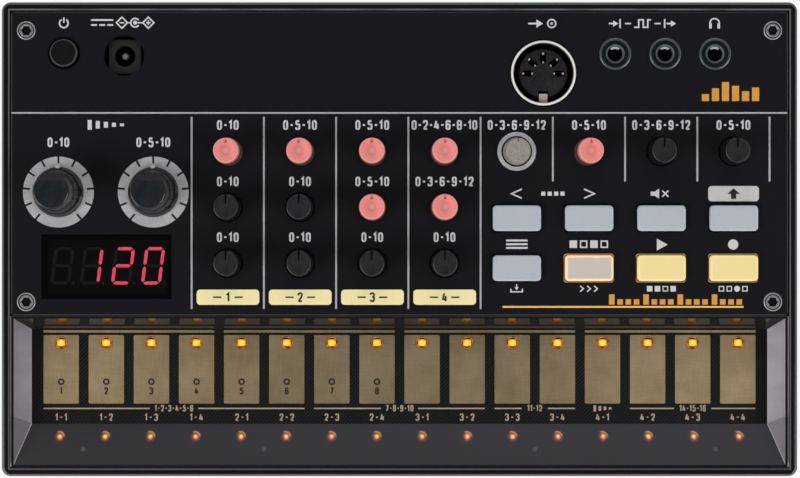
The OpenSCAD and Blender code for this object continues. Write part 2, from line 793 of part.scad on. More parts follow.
module digit() {
  lean = tan(digit_lean);
  a = digit_grow[0] * digit_w / 2 - segment_w / 2;
  b = digit_grow[1] * digit_h / 2 - segment_w / 2;
  s = segment_w / 2;
  cut = 0.12;
  function leaning(points) = [for (p = points) [p[0] + lean * p[1], p[1]]];
  // A bar with pointed ends from one place to another, across or upright
  function across(y) = [
    [-a + cut, y], [-a + s + cut, y + s], [a - s - cut, y + s],
    [a - cut, y], [a - s - cut, y - s], [-a + s + cut, y - s]
  ];
  function upright(x, y0, y1) = [
    [x, y0 + cut], [x + s, y0 + s + cut], [x + s, y1 - s - cut],
    [x, y1 - cut], [x - s, y1 - s - cut], [x - s, y0 + s + cut]
  ];
  for (y = [-b, 0, b]) polygon(leaning(across(y)));
  for (x = [-a, a], y = [-b, 0]) polygon(leaning(upright(x, y, y + b)));
}

module display_segments() {
  segment_t = 0.15;
  digits = 4;
  color("#e63b5a") at(window_at, panel_bottom - 0.4) linear_extrude(segment_t)
    for (n = [0 : digits - 1])
      translate([digit_grow[0] * ((n - (digits - 1) / 2) * digit_pitch + 0.4), 0.2]) digit();
}

// ---- Boards and what they carry ----

module main_board() {
  color("#1c4a2c") difference() {
    span([-inner_x + 2, deck_front + 1.7, board_bottom],
         [inner_x - 2, socket_board_front - 1.5, board_top]);
    at_each(board_screw_points, board_bottom - 1) cylinder(h = board_t + 2, r = small_thread_r + 0.25);
    // Corners cut back round the panel screws' bosses
    for (x = [-1, 1]) translate([x * inner_x, deck_front, board_bottom - 1]) cylinder(h = board_t + 2, r = 6);
  }
}

module socket_board() {
  color("#1c4a2c") difference() {
    span([socket_board_left, socket_board_front, socket_board_top - board_t],
         [socket_board_right, socket_board_rear, socket_board_top]);
    at_each(socket_screw_points, socket_board_top - board_t - 1)
      cylinder(h = board_t + 2, r = small_thread_r + 0.25);
    // Room for the screw columns of the lower shell
    at_each(case_screw_rear, socket_board_top - board_t - 1) cylinder(h = board_t + 2, r = column_r + gap);
  }
}

// Pan-head screw: the head's seat is at z = 0 and the thread runs up
module pan_screw(length) {
  cylinder(h = length, r = small_thread_r);
  translate([0, 0, -small_head_h]) cylinder(h = small_head_h, r = small_head_r);
}

module board_screws() {
  color("#b8b8bc") {
    at_each(board_screw_points, board_bottom) pan_screw(board_t + panel_bite);
    at_each(strip_screw_points, strip_board_bottom) pan_screw(board_t + frame_bite);
    at_each(socket_screw_points, socket_board_top) mirror([0, 0, 1]) pan_screw(board_t + post_bite);
  }
}

module small_pot() {
  difference() {
    translate([0, 0, board_top + pot_h / 2]) cube([pot_w, pot_w, pot_h], center = true);
    translate([0, 0, board_top + 0.6]) cylinder(h = pot_h, r = spindle_r + running);
  }
}

module large_pot() {
  difference() {
    union() {
      translate([0, 0, board_top + pot_h / 2]) cube([dial_pot_w, dial_pot_w, pot_h], center = true);
      translate([0, 0, pot_top - 0.5]) cylinder(h = bushing_h + 0.5, r = bushing_r);
    }
    translate([0, 0, board_top + 0.6]) cylinder(h = pot_h + bushing_h, r = shaft_dia / 2 + running);
  }
}

module potentiometers() {
  color("#2f5d3a") {
    for (n = [0 : len(KNOB_NAMES) - 1]) at(knob_at(n)) small_pot();
    at(time_at) large_pot();
    at(depth_at) large_pot();
  }
}

module shaft() {
  color("#c4c6c8") difference() {
    translate([0, 0, board_top + 0.9]) cylinder(h = shaft_top - board_top - 0.9, r = shaft_dia / 2);
    // Flat of the D shaft
    translate([-shaft_dia, shaft_dia / 2 - flat_depth, shaft_top - flat_h])
      cube([2 * shaft_dia, shaft_dia, flat_h + 1]);
  }
}

module time_shaft() at(time_at) shaft();

module depth_shaft() at(depth_at) shaft();

// Large knob: flared foot, slightly tapered barrel, a slanting cut on the pointer's side
module dial() {
  foot_r = dial_dia / 2;
  top_r = dial_top_dia / 2;
  bore_r = shaft_dia / 2 + 0.02;
  z = dial_bottom;
  color("#1d1f22") difference() {
    union() {
      difference() {
        rotate_extrude() polygon([
          [0, z], [foot_r, z], [foot_r, z + dial_skirt_h], [foot_r - 0.5, z + dial_skirt_h + 0.4],
          [foot_r - 0.9, z + 2], [top_r + 0.55, z + 3.4], [top_r + 0.35, z + 5],
          [top_r, dial_top - 0.4], [top_r - 0.4, dial_top], [0, dial_top]
        ]);
        translate([-dial_dia, dial_chord, dial_top]) rotate([dial_chord_angle, 0, 0])
          translate([0, 0, -dial_chord_h]) cube([2 * dial_dia, dial_dia, 2 * dial_chord_h]);
      }
      // Pointer
      translate([-pointer_w / 2, foot_r - 1.6, z + 0.2]) cube([pointer_w, 1.9, 1.6]);
    }
    difference() {
      translate([0, 0, z - 1]) cylinder(h = shaft_top - z + 1, r = bore_r);
      translate([-shaft_dia, shaft_dia / 2 - flat_depth + 0.02, shaft_top - flat_h + 0.1])
        cube([2 * shaft_dia, shaft_dia, flat_h + 1]);
    }
    // Recess over the bushing
    translate([0, 0, z - 1]) cylinder(h = 1.6, r = bushing_r + 0.4);
  }
}

module time_knob() at(time_at) dial();

module depth_knob() at(depth_at) dial();

// Small knob in one piece with its spindle; the notch in the top points to the setting
module small_knob(n) {
  foot_r = knob_dia / 2;
  top_r = knob_top_dia / 2;
  top = panel_top + knob_h;
  lit = [0, 1, 2, 3, 6, 7, 13];
  tint = len(search(n, lit)) > 0 ? "#ec8a87" : n == 12 ? "#96938c" : "#323337";
  color(tint) at(knob_at(n)) difference() {
    rotate_extrude() polygon([
      [0, board_top + 0.9], [spindle_r, board_top + 0.9], [spindle_r, collar_bottom],
      [foot_r, collar_bottom], [foot_r, panel_top + 1], [top_r, top - knob_bevel],
      [top_r - knob_bevel, top], [0, top]
    ]);
    translate([-notch_w / 2, top_r - notch_l, top - notch_d]) cube([notch_w, notch_l + 1, notch_d + 1]);
  }
}

// Push button: bevelled cap, flange under the deck, stem into the switch
module button(n) {
  cap_top = panel_top + button_h;
  tint = n < 5 ? "#b4bcc6" : n == 5 ? "#c8beb2" : "#f6df9b";
  color(tint) at(button_at(n)) {
    bevelled_plate(button_w, button_d, button_r, flange_top - 0.2, cap_top, 0.3);
    translate([0, 0, flange_top - flange_t / 2]) cube([flange_w, flange_d, flange_t], center = true);
    translate([0, 0, stem_bottom]) cylinder(h = flange_top - 0.2 - stem_bottom, r = stem_r);
  }
}

module button_switches() {
  color("#3c3c40") for (n = [0 : len(BUTTON_NAMES) - 1]) at(button_at(n)) difference() {
    translate([0, 0, board_top + switch_h / 2]) cube([switch_w, switch_w, switch_h], center = true);
    translate([0, 0, switch_floor]) cylinder(h = switch_h, r = stem_r + gap);
  }
}

// ---- Sockets ----

module power_switch() {
  color("#2c2c30") at(power_at, socket_board_top) difference() {
    translate([0, 0, power_switch_h / 2])
      cube([power_switch_w, power_switch_w, power_switch_h], center = true);
    translate([0, 0, power_switch_h / 2 + 1.2])
      cube([power_stem_w + 2 * gap, power_stem_w + 2 * gap, power_switch_h], center = true);
  }
}

module power_button() {
  cap_r = power_dia / 2;
  stem_bottom = socket_board_top + 1.6 + power_travel;
  color("#222226") at(power_at) {
    rotate_extrude() polygon([
      [0, power_cap_bottom], [cap_r, power_cap_bottom], [cap_r, power_cap_top - 0.4],
      [cap_r - 0.4, power_cap_top], [0, power_cap_top]
    ]);
    translate([-power_stem_w / 2, -power_stem_w / 2, stem_bottom])
      cube([power_stem_w, power_stem_w, power_cap_bottom - stem_bottom + 0.2]);
  }
}

module dc_jack() {
  color("#1d1d20") at(dc_at) difference() {
    translate([-dc_body / 2, -dc_body / 2, socket_board_top])
      cube([dc_body, dc_body, dc_top - socket_board_top]);
    translate([0, 0, dc_floor]) cylinder(h = dc_top, r = dc_bore / 2);
    translate([0, 0, dc_top - 0.4]) cylinder(h = 0.5, r1 = dc_bore / 2, r2 = dc_bore / 2 + 0.5);
  }
}

module dc_pin() {
  color("#b9b6ae") at(dc_at, dc_floor) {
    cylinder(h = dc_top - dc_floor - 1.4, r = dc_pin_dia / 2);
    translate([0, 0, dc_top - dc_floor - 1.4])
      cylinder(h = 0.4, r1 = dc_pin_dia / 2, r2 = dc_pin_dia / 2 - 0.3);
  }
}

module midi_shell() {
  outer = midi_dia / 2;
  inner = midi_bore / 2;
  key_out = inner + (outer - inner) / 2;
  color("#c9c7c0") at(midi_at) {
    rotate_extrude() polygon([
      [inner, midi_flange_top], [outer, midi_flange_top], [outer, panel_top + 0.3],
      [outer - 0.2, panel_top + 0.5], [inner, panel_top + 0.5]
    ]);
    // Key that turns the plug the right way round
    translate([-midi_key[0] / 2, -key_out, midi_flange_top])
      cube([midi_key[0], midi_key[1], midi_face - midi_flange_top + 0.3]);
  }
}

module midi_pin_places() for (a = [0 : 45 : 180]) rotate([0, 0, a]) translate([midi_pin_r, 0, 0]) children();

module midi_insulator() {
  key_clear = 0.15;
  color("#1a1a1c") at(midi_at) difference() {
    union() {
      translate([-midi_body / 2, -midi_body / 2, socket_board_top])
        cube([midi_body, midi_body, midi_flange_top - socket_board_top]);
      translate([0, 0, midi_flange_top - 0.5])
        cylinder(h = midi_face - midi_flange_top + 0.5, r = midi_core / 2);
    }
    translate([0, 0, socket_board_top - 1]) midi_pin_places() cylinder(h = midi_face, r = 0.85);
    translate([-midi_key[0] / 2 - key_clear, -midi_bore / 2 - 1, midi_flange_top])
      cube([midi_key[0] + 2 * key_clear, midi_key[1] + 1 + key_clear, midi_face]);
  }
}

module midi_contacts() {
  color("#b08d4a") at(midi_at, socket_board_top) midi_pin_places() cylinder(h = 7, r = 0.75);
}

// 3.5 mm socket: body on the board, round collar through the panel, bevelled mouth
module jack(n) {
  collar_r = jack_collar / 2;
  bore_r = jack_bore / 2;
  color("#121214") at(jack_at(n)) difference() {
    union() {
      translate([-jack_body[0] / 2, -jack_body[1] / 2, socket_board_top])
        cube([jack_body[0], jack_body[1], socket_body_top - socket_board_top]);
      rotate_extrude() polygon([
        [0, socket_body_top - 0.5], [collar_r, socket_body_top - 0.5], [collar_r, jack_top - 0.3],
        [collar_r - 0.3, jack_top], [0, jack_top]
      ]);
    }
    translate([0, 0, jack_top - jack_depth]) cylinder(h = jack_depth + 1, r = bore_r);
    translate([0, 0, jack_top - jack_mouth])
      cylinder(h = jack_mouth + 0.01, r1 = bore_r, r2 = bore_r + jack_mouth);
  }
}

module sync_in_jack() jack(0);

module sync_out_jack() jack(1);

module headphone_jack() jack(2);

// ---- Loudspeaker, battery bay, feet and screws ----

module speaker() {
  r = speaker_dia / 2;
  color("#2a2a2c") at([speaker_x, speaker_y], floor_top) rotate_extrude() polygon([
    [0, 2.3], [5, 2.6], [r - 5, 0.7], [r - 2.5, 0], [r, 0], [r, 1.2], [r - 3, 1.4],
    [9.5, 6], [9.5, 11.5], [0, 11.5]
  ]);
}

module battery_door() {
  slit = 0.8;
  tongue_w = 16;
  tongue_l = 9;
  grip_pitch = 2;
  end = bay_x + door_w / 2;
  color("#1b1b1e") difference() {
    translate([bay_x, bay_y, case_bottom]) linear_extrude(door_t) rounded_rect(door_w, door_d, 1.3);
    // Slits that free the latch's tongue
    for (y = [-1, 1])
      translate([end - tongue_l, bay_y + y * tongue_w / 2 - slit / 2, case_bottom - 1])
        cube([tongue_l + 1, slit, door_t + 2]);
    // Grip grooves across the tongue
    for (i = [0 : 2])
      translate([end - 2 - i * grip_pitch, bay_y, case_bottom])
        cube([0.8, tongue_w - 4, 1], center = true);
    // Thumb recess at the other end
    translate([bay_x - door_w / 2 + 12, bay_y, case_bottom - 6.6]) rotate([90, 0, 0])
      cylinder(h = 18, r = 7.4, center = true);
  }
}

// One cell along +X from its flat end to its nose
module cell() {
  rotate([0, 90, 0]) {
    cylinder(h = cell_l, r = cell_dia / 2);
    cylinder(h = cell_l + nose_l, r = nose_r);
  }
}

// Rows face left and right by turns, so that the six cells are in series
module battery_cells() {
  color("#8f9297") for (row = [-1 : 1])
    translate([bay_x, bay_y + row * cell_pitch, cell_z]) mirror([abs(row), 0, 0])
      translate([-bay_l / 2 + contact_t + spring_l, 0, 0]) {
        cell();
        translate([cell_l + nose_l + fit, 0, 0]) cell();
      }
}

// Plate with a tapered spring of three turns at one end, plate with a bump at the other
module battery_contacts() {
  plate = 9;
  turns = 3;
  color("#c9ccd0") for (row = [-1 : 1])
    translate([bay_x, bay_y + row * cell_pitch, cell_z]) mirror([abs(row), 0, 0]) {
      translate([-bay_l / 2 + contact_t / 2, 0, 0]) cube([contact_t, plate, plate], center = true);
      for (i = [0 : turns - 1])
        translate([-bay_l / 2 + contact_t + i * spring_l / turns, 0, 0]) rotate([0, 90, 0])
          cylinder(h = spring_l / turns, r1 = 4 - i * 0.6, r2 = 3.2 - i * 0.6);
      translate([bay_l / 2 - contact_t / 2, 0, 0]) cube([contact_t, plate, plate], center = true);
      translate([bay_l / 2 - contact_t - bump_l, 0, 0])
        rotate([0, 90, 0]) cylinder(h = bump_l, r1 = 1.5, r2 = 2.2);
    }
}

module feet() {
  r = foot_dia / 2;
  color("#202022") at_each(foot_points) rotate_extrude() polygon([
    [0, 0], [r - 0.5, 0], [r, 0.5], [r, foot_h + foot_seat], [0, foot_h + foot_seat]
  ]);
}

module case_screws() {
  head_h = 2;
  length = split_z - case_screw_head_z + 2.6;
  color("#8c8c90") at_each(concat(case_screw_front, case_screw_rear), case_screw_head_z) difference() {
    union() {
      cylinder(h = length, r = thread_r);
      translate([0, 0, -head_h]) cylinder(h = head_h, r = counterbore_r - gap);
    }
    // Cross slot
    for (a = [0, 90]) rotate([0, 0, a]) translate([0, 0, -head_h]) cube([2.6, 0.6, 2], center = true);
  }
}

lower_case();
upper_case();
touch_bezel();
faceplate();
panel_screws();
touch_board();
touch_pads();
touch_lamps();
display_window();
display_module();
display_segments();
main_board();
socket_board();
board_screws();
potentiometers();
time_shaft();
depth_shaft();
time_knob();
depth_knob();
button_switches();
power_button();
power_switch();
dc_jack();
dc_pin();
midi_shell();
midi_insulator();
midi_contacts();
sync_in_jack();
sync_out_jack();
headphone_jack();
speaker();
battery_door();
battery_contacts();
battery_cells();
feet();
case_screws();
for (n = [0 : len(KNOB_NAMES) - 1])
  small_knob(n);
for (n = [0 : len(BUTTON_NAMES) - 1])
  button(n);
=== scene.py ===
"""Looks of the drum machine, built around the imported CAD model.

Lengths are in mm up to the studio, which is in metres. new_piece, place and bump turn mm into metres, and
Finish.place turns a shader's metres into mm. Scales of noise are per metre.
"""

from math import cos, radians, sin, tan

import bmesh
import bpy
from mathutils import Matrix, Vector


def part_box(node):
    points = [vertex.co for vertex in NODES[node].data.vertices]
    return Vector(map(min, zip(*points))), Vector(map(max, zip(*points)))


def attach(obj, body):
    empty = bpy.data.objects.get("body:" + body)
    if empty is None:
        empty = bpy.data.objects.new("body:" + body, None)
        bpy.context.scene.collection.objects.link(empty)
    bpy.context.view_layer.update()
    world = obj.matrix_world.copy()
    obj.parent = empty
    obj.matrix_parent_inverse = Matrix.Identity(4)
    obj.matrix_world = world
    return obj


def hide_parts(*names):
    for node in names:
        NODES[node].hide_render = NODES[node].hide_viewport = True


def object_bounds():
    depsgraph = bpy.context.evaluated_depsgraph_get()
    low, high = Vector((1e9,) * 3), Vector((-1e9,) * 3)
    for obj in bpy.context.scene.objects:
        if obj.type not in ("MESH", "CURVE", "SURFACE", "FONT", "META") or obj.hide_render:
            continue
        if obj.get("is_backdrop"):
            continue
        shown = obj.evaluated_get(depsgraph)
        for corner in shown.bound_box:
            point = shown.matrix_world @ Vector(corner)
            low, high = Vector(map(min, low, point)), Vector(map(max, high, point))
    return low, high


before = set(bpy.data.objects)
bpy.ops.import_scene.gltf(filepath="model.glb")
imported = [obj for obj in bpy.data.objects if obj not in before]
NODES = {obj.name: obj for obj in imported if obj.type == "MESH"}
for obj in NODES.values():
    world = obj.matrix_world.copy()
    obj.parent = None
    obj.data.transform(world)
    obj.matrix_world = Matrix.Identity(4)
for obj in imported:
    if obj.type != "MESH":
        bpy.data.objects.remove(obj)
scene = bpy.context.scene
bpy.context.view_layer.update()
MM = 0.001

# ---- Levels and places of the CAD model ----
PANEL_TOP = 32.6
FRAME_TOP = 32.9         # upper edge of the smoked frame
STRIP_TOP = 25.6         # touch board
PAD_TOP = 25.75
FACE_TOP = 40.5          # small knobs
DIAL_TOP = 46          # large knobs
KEY_TOP = 34.2
KEY_W, KEY_D = 11.64, 6.2    # cap of a key
COLUMN_PITCH = 17.515
COLUMNS = [-41.64 + COLUMN_PITCH * i for i in range(8)]
ROWS = [21.3, 7.75, -5.8]
KEY_ROWS = [5.1, -7]
DIALS = {"time": (-82.7, 11.44), "depth": (-59.7, 11.44)}
WINDOW = (-71.05, -6.66)
JACKS = {"sync_in_jack": 52.3, "sync_out_jack": 64.4, "headphone_jack": 76.5}
JACK_Y = 44.95
MIDI = (34.9, 40.3)
SHELL_INNER = 7.2        # inner radius of the five-pole socket's ring
DC = (-66.8, 44.55)
PAD_PITCH = 11.065
PAD_X = [(n - 7.5) * PAD_PITCH for n in range(16)]
PAD_W = 8.66
PAD_LAMP_Y = -25.4
SLOPE_LAMP_Y = -48.2

KNOBS = [name + "_knob" for name in (
    "kick_click", "snare_snappy", "tom_high_pitch", "hat_closed_decay",
    "kick_pitch", "snare_pitch", "tom_low_pitch", "hat_open_decay",
    "kick_decay", "snare_decay", "tom_decay", "hat_grain",
    "sample_speed", "tempo", "part_level", "volume",
)]
BUTTONS = [name + "_button" for name in (
    "part_down", "part_up", "mute", "shift", "memory", "step_mode", "play", "record",
)]
RED_KNOBS = {0, 1, 2, 3, 6, 7, 13}
GREY_KNOB = 12


def knob_place(n):
    """Column and row of a small knob: three rows of four, then four more on the first row."""
    return (COLUMNS[n % 4], ROWS[n // 4]) if n < 12 else (COLUMNS[n - 8], ROWS[0])


def key_place(n):
    return COLUMNS[4 + n % 4], KEY_ROWS[n // 4]


def polar(r, degrees):
    a = radians(degrees)
    return r * cos(a), r * sin(a)


# ---- Shader nodes ----

def linear(color):
    """Linear colour of a displayed one, three levels up to 255; one with alpha is linear already."""
    if len(color) == 4:
        return color
    levels = [v / 255 for v in color]
    return (*[v / 12.92 if v <= 0.04045 else ((v + 0.055) / 1.055) ** 2.4 for v in levels], 1)


def grey(level):
    return (level, level, level, 1)


BLACK, WHITE = grey(0), grey(1)


class Value:
    """Output of a shader node, which can be reckoned with."""

    def __init__(self, tree, socket):
        self.tree, self.socket = tree, socket

    def __add__(self, other):
        return self.tree.math("ADD", self, other)

    def __sub__(self, other):
        return self.tree.math("SUBTRACT", self, other)

    def __rsub__(self, other):
        return self.tree.math("SUBTRACT", other, self)

    def __mul__(self, other):
        return self.tree.math("MULTIPLY", self, other)

    def __truediv__(self, other):
        return self.tree.math("DIVIDE", self, other)

    def __lt__(self, other):
        return self.tree.math("LESS_THAN", self, other)

    def __abs__(self):
        return self.tree.math("ABSOLUTE", self)


class Tree:
    """A node tree that is built in code."""

    def __init__(self, nodes):
        self.tree = nodes

    def link(self, value, target):
        if isinstance(value, Value):
            self.tree.links.new(value.socket, target)
        else:
            target.default_value = linear(value) if target.type == "RGBA" else value

    def node(self, kind, inputs=(), **settings):
        n = self.tree.nodes.new("ShaderNode" + kind)
        for key, value in settings.items():
            setattr(n, key, value)
        for socket, value in dict(inputs).items():
            self.link(value, n.inputs[socket])
        return n

    def out(self, kind, inputs=(), output=0, **settings):
        return Value(self, self.node(kind, inputs, **settings).outputs[output])

    def surface(self, shader):
        self.link(shader, next(n for n in self.tree.nodes if n.type.startswith("OUTPUT")).inputs[0])

    def math(self, operation, a, b=0, c=0):
        return self.out("Math", {0: a, 1: b, 2: c}, operation=operation)

    def parts(self, vector):
        n = self.node("SeparateXYZ", {0: vector})
        return [Value(self, n.outputs[i]) for i in range(3)]

    def ramp(self, value, *stops):
        n = self.node("ValToRGB", {0: value})
        line = n.color_ramp.elements
        while len(line) < len(stops):
            line.new(0.5)
        for element, (at, color) in zip(line, stops):
            element.position = at
            element.color = linear(color)
        return Value(self, n.outputs[0])


MAT = {}
NOISE = (0.3, 0.7)       # where most of a noise texture lies


class Finish(Tree):
    """A Principled material and the procedural nodes that feed it; it is kept in MAT by its name."""

    def __init__(self, name, color, roughness, specular=0.5, **sockets):
        MAT[name] = bpy.data.materials.new(name)
        MAT[name].use_nodes = True
        super().__init__(MAT[name].node_tree)
        self.bsdf = next(n for n in self.tree.nodes if n.type == "BSDF_PRINCIPLED")
        self.color = linear(color)
        self.feed("Base Color", color)
        self.feed("Roughness", roughness)
        self.feed("Specular IOR Level", specular)
        for socket, value in sockets.items():
            self.feed(socket.replace("_", " "), value)
        self.coord = self.out("TexCoord", output="Object")

    def feed(self, socket, value):
        self.link(value, self.bsdf.inputs[socket])

    def place(self):
        """Object coordinates in mm."""
        return [part / MM for part in self.parts(self.coord)]

    def normal(self):
        return self.parts(self.out("NewGeometry", output="True Normal"))

    def mapped(self, scale):
        """Object coordinates stretched by scale, for grain that runs one way."""
        return self.out("Mapping", {"Vector": self.coord, "Scale": scale})

    def noise(self, scale, detail=3, roughness=0.55, vector=None):
        return self.out("TexNoise", {"Vector": vector or self.coord, "Scale": scale, "Detail": detail,
                                     "Roughness": roughness})

    def jitter(self, scale, detail, amount, roughness=0.55):
        """Noise about zero."""
        return (self.noise(scale, detail, roughness) - 0.5) * amount

    def remap(self, value, low, high, to_low=0, to_high=1, smooth=False):
        return self.out("MapRange", {0: value, 1: low, 2: high, 3: to_low, 4: to_high},
                        clamp=True, interpolation_type="SMOOTHSTEP" if smooth else "LINEAR")

    def mix(self, fac, a, b, blend="MIX"):
        return self.out("Mix", {0: fac, 6: a, 7: b}, output=2, data_type="RGBA", blend_type=blend)

    def times(self, color, factor):
        return self.mix(1, color, factor, blend="MULTIPLY")

    def combined(self, r, g, b):
        return self.out("CombineColor", {0: r, 1: g, 2: b})

    def distance(self, a, b):
        return self.math("SQRT", a * a + b * b)

    def from_lamp(self, x, y, lamp_y):
        """Place of a point from the nearest of sixteen lamps."""
        u = x / PAD_PITCH + 0.5
        return (u - self.math("ROUND", u)) * PAD_PITCH, y - lamp_y

    def tint(self, fac, amount):
        """Base colour between (1 - amount) and (1 + amount) times itself, along fac."""
        dark = tuple(c * (1 - amount) for c in self.color[:3]) + (1,)
        light = tuple(min(1, c * (1 + amount)) for c in self.color[:3]) + (1,)
        out = self.mix(self.remap(fac, *NOISE), dark, light)
        self.feed("Base Color", out)
        return out

    def speckled(self, fac, spread, dark, light):
        """Base colour between two others; spread is how much of fac's middle it uses."""
        self.feed("Base Color", self.mix(self.remap(fac, 0.5 - spread, 0.5 + spread), dark, light))

    def paint_edge_light(self, body, edge, low=0.45, high=0.985):
        """Body colour with a painted highlight of the edge colour on tilted facets; low and high bound their
        upward normals.
        """
        up = self.normal()[2]
        k = self.remap(up, high - 0.035, high, 1, 0) * self.remap(up, low, low + 0.2)
        self.feed("Base Color", self.mix(k, body, edge))

    def rough(self, fac, low, high):
        self.feed("Roughness", self.remap(fac, *NOISE, low, high))

    def bump(self, height, distance):
        """distance is the relief in mm that a height of 1 stands for."""
        self.feed("Normal", self.out("Bump", {"Height": height, "Distance": distance * MM, "Strength": 1}))

    def emit(self, color, strength):
        self.feed("Emission Color", color)
        self.feed("Emission Strength", strength)


def moulded(name, color, roughness, grain=0.01, spread=0.05, tint=0.12, edge=None, **sockets):
    """Moulded plastic: slight colour drift, uneven gloss, fine grain; an edge colour is a painted highlight
    on tilted facets.
    """
    f = Finish(name, color, roughness, **sockets)
    body = f.tint(f.noise(60, 4), tint)
    if edge:
        f.paint_edge_light(body, edge)
    f.rough(f.noise(420, 5, 0.65), max(0.02, roughness - spread), roughness + spread)
    f.bump(f.noise(2600, 3, 0.6), grain)
    return f


def metal(name, color, roughness, along=(1, 1, 1), metallic=1, tint=0.1):
    """Turned, brushed or plated metal; along stretches its fine lines."""
    f = Finish(name, color, roughness, Metallic=metallic)
    lines = f.noise(2200, 4, 0.6, vector=f.mapped(along))
    f.tint(lines, tint)
    f.rough(f.noise(500, 3), roughness * 0.75, roughness * 1.3)
    f.bump(lines, 0.006)
    return f


def printed(name, color, roughness=0.5, spread=0.1):
    """Screen-printed ink: faint mottling and a slightly rough face."""
    f = Finish(name, color, roughness, specular=0.3)
    f.tint(f.noise(2600, 3, 0.7) * 0.6 + f.noise(240, 3) * 0.4, spread)
    f.rough(f.noise(1500), roughness - 0.08, roughness + 0.08)
    f.bump(f.noise(4200, 2), 0.004)


# ---- Housing, panel and touch strip ----

def housing_gloss():
    """Glossy black housing with faint dust and hairlines, and a painted highlight on its rounded rim."""
    f = Finish("case_gloss", (20, 20, 22), 0.13)
    f.paint_edge_light(f.tint(f.noise(45, 4), 0.18), (84, 84, 87), 0.3, 0.95)
    dust = f.noise(160, 5, 0.7) * f.noise(5200, 2, 0.7)
    f.feed("Roughness", f.remap(dust, 0.12, 0.45, 0.09, 0.24))
    f.bump(f.noise(700, 3, 0.5), 0.004)


def panel_paint():
    """Matt coating, with a painted highlight on its bevelled edges."""
    f = Finish("panel_paint", (20, 20, 25), 0.6, specular=0.1)
    fine = f.noise(6500, 2, 0.6)
    f.paint_edge_light(f.tint(fine * 0.45 + f.noise(38, 5, 0.6) * 0.55, 0.22), (84, 84, 88))
    f.rough(f.noise(300, 5, 0.7), 0.52, 0.68)
    f.bump(fine, 0.012)


def smoked():
    """Smoked frame: dark gloss; painted reflections on its walls and slope, painted glow over the lamps."""
    f = Finish("smoked_plastic", (24, 24, 27), 0.1)
    x, y, z = f.place()
    side, depth = abs(x), FRAME_TOP - z
    # How much a point is on each wall
    nx, ny, nz = f.normal()
    steep = f.remap(nz, 0.05, 0.2)
    end_wall = f.remap(abs(nx), 0.55, 0.75) * steep
    rear_wall = f.remap(ny, -0.8, -0.6, 1, 0) * steep
    slope = f.remap(ny, 0.4, 0.5) * steep

    # End walls: painted reflection, streaked from top to bottom, lighter near the board, paler on the right
    streaks = f.noise(1, 4, 0.6, vector=f.mapped((120, 260, 60)))
    wall_sheen = f.ramp(streaks, (0.3, (164, 159, 168)), (0.52, (174, 169, 177)),
                  (0.75, (184, 178, 184)))
    # Below the line from the board's corner, painted shade stands for the darker slope they mirror
    past = y - (depth * -0.315 - 43)
    shade = f.remap(past, -0.12, 0.12, 0.66, 1) * f.remap(abs(past), 0.1, 0.25, 0.8, 1)
    shade = shade * f.remap(x, -1, 1, 0.84, 1.13) * f.remap(depth, 0, 7.3, 0.78, 1.15)
    wall_sheen = f.times(wall_sheen, f.combined(shade, shade, shade))
    # Painted highlight along the mitred corner with the front slope
    mitre = y - (depth * 1.288 - 54.7) < 0.45
    wall_sheen = f.mix(mitre * 0.8, wall_sheen, (214, 210, 215))

    body = f.mix(f.noise(70, 4), (18, 18, 20), (27, 27, 30))
    # Front slope: painted reflection, lighter with depth and darker towards the left end
    slope_sheen = f.mix(f.remap(depth, 0, 7), (35, 35, 39), (48, 49, 58))
    slope_sheen = f.mix(f.remap(x, -88, -20, 0.75, 0), slope_sheen, (29, 29, 32))
    body = f.mix(slope, body, slope_sheen)
    # The rear wall mirrors the board only; its ends stay black
    mirror = rear_wall * f.remap(side, 89.2, 90.2, 1, 0)
    body = f.mix(rear_wall, body, f.mix(mirror, (16, 16, 17), (68, 62, 62)))
    f.feed("Base Color", f.mix(end_wall, body, wall_sheen))
    f.feed("Metallic", mirror * 0.7)
    dull = f.math("MAXIMUM", end_wall, slope) + (rear_wall - mirror) * 2.5
    f.feed("Roughness", dull * 0.3 + 0.1)

    # Painted glow for the lamps' reflections: a hot core, an arc of light up and to the right, a red fringe
    dx, dy = f.from_lamp(x, y, SLOPE_LAMP_Y)
    core = f.ramp((f.distance(dx, dy) + f.jitter(1500, 3, 0.55, 0.6)) / 2,
                  (0.06, (255, 208, 128)), (0.17, (248, 170, 80)), (0.28, (190, 104, 44)),
                  (0.4, (112, 58, 36)), (0.55, (66, 26, 28)), (0.75, BLACK))
    reach = f.distance(dx + 0.15, dy + 0.05)
    on_arc = f.remap(abs(reach - 1.12), 0.08, 0.3, 1, 0, smooth=True)
    upper = f.remap(dx * 0.6 + dy, 0.35, 0.85, smooth=True)
    glow = f.mix(1, core, f.mix(on_arc * upper, BLACK, (176, 120, 76)), blend="LIGHTEN")
    # Painted faint glow where the screw bosses show through the slope
    near = f.math("MINIMUM", abs(side - 77), abs(side - 33))
    ghost = f.remap(f.distance(near, y + 51.1), 0.25, 0.8, 0.045, 0, smooth=True)
    glow = f.mix(1, glow, f.combined(ghost, ghost, ghost * 1.1), blend="ADD")
    f.emit(glow, (side < 8 * PAD_PITCH) * slope)
    f.bump(f.noise(900, 3, 0.5), 0.003)


def laminate():
    """Black board with a fine diagonal weave under the solder mask."""
    f = Finish("board_black", (12, 12, 13), 0.42, specular=0.2)
    turned = f.out("Mapping", {"Vector": f.coord, "Rotation": (0, 0, radians(45))})
    twill = f.out("TexWave", {"Vector": turned, "Scale": 460, "Distortion": 0.8, "Detail": 2,
                              "Detail Scale": 2}, output=1, bands_direction="X")
    f.speckled(twill, 0.25, (4, 4, 5), (31, 31, 30))
    f.rough(f.noise(900, 3), 0.36, 0.54)
    f.bump(twill, 0.02)


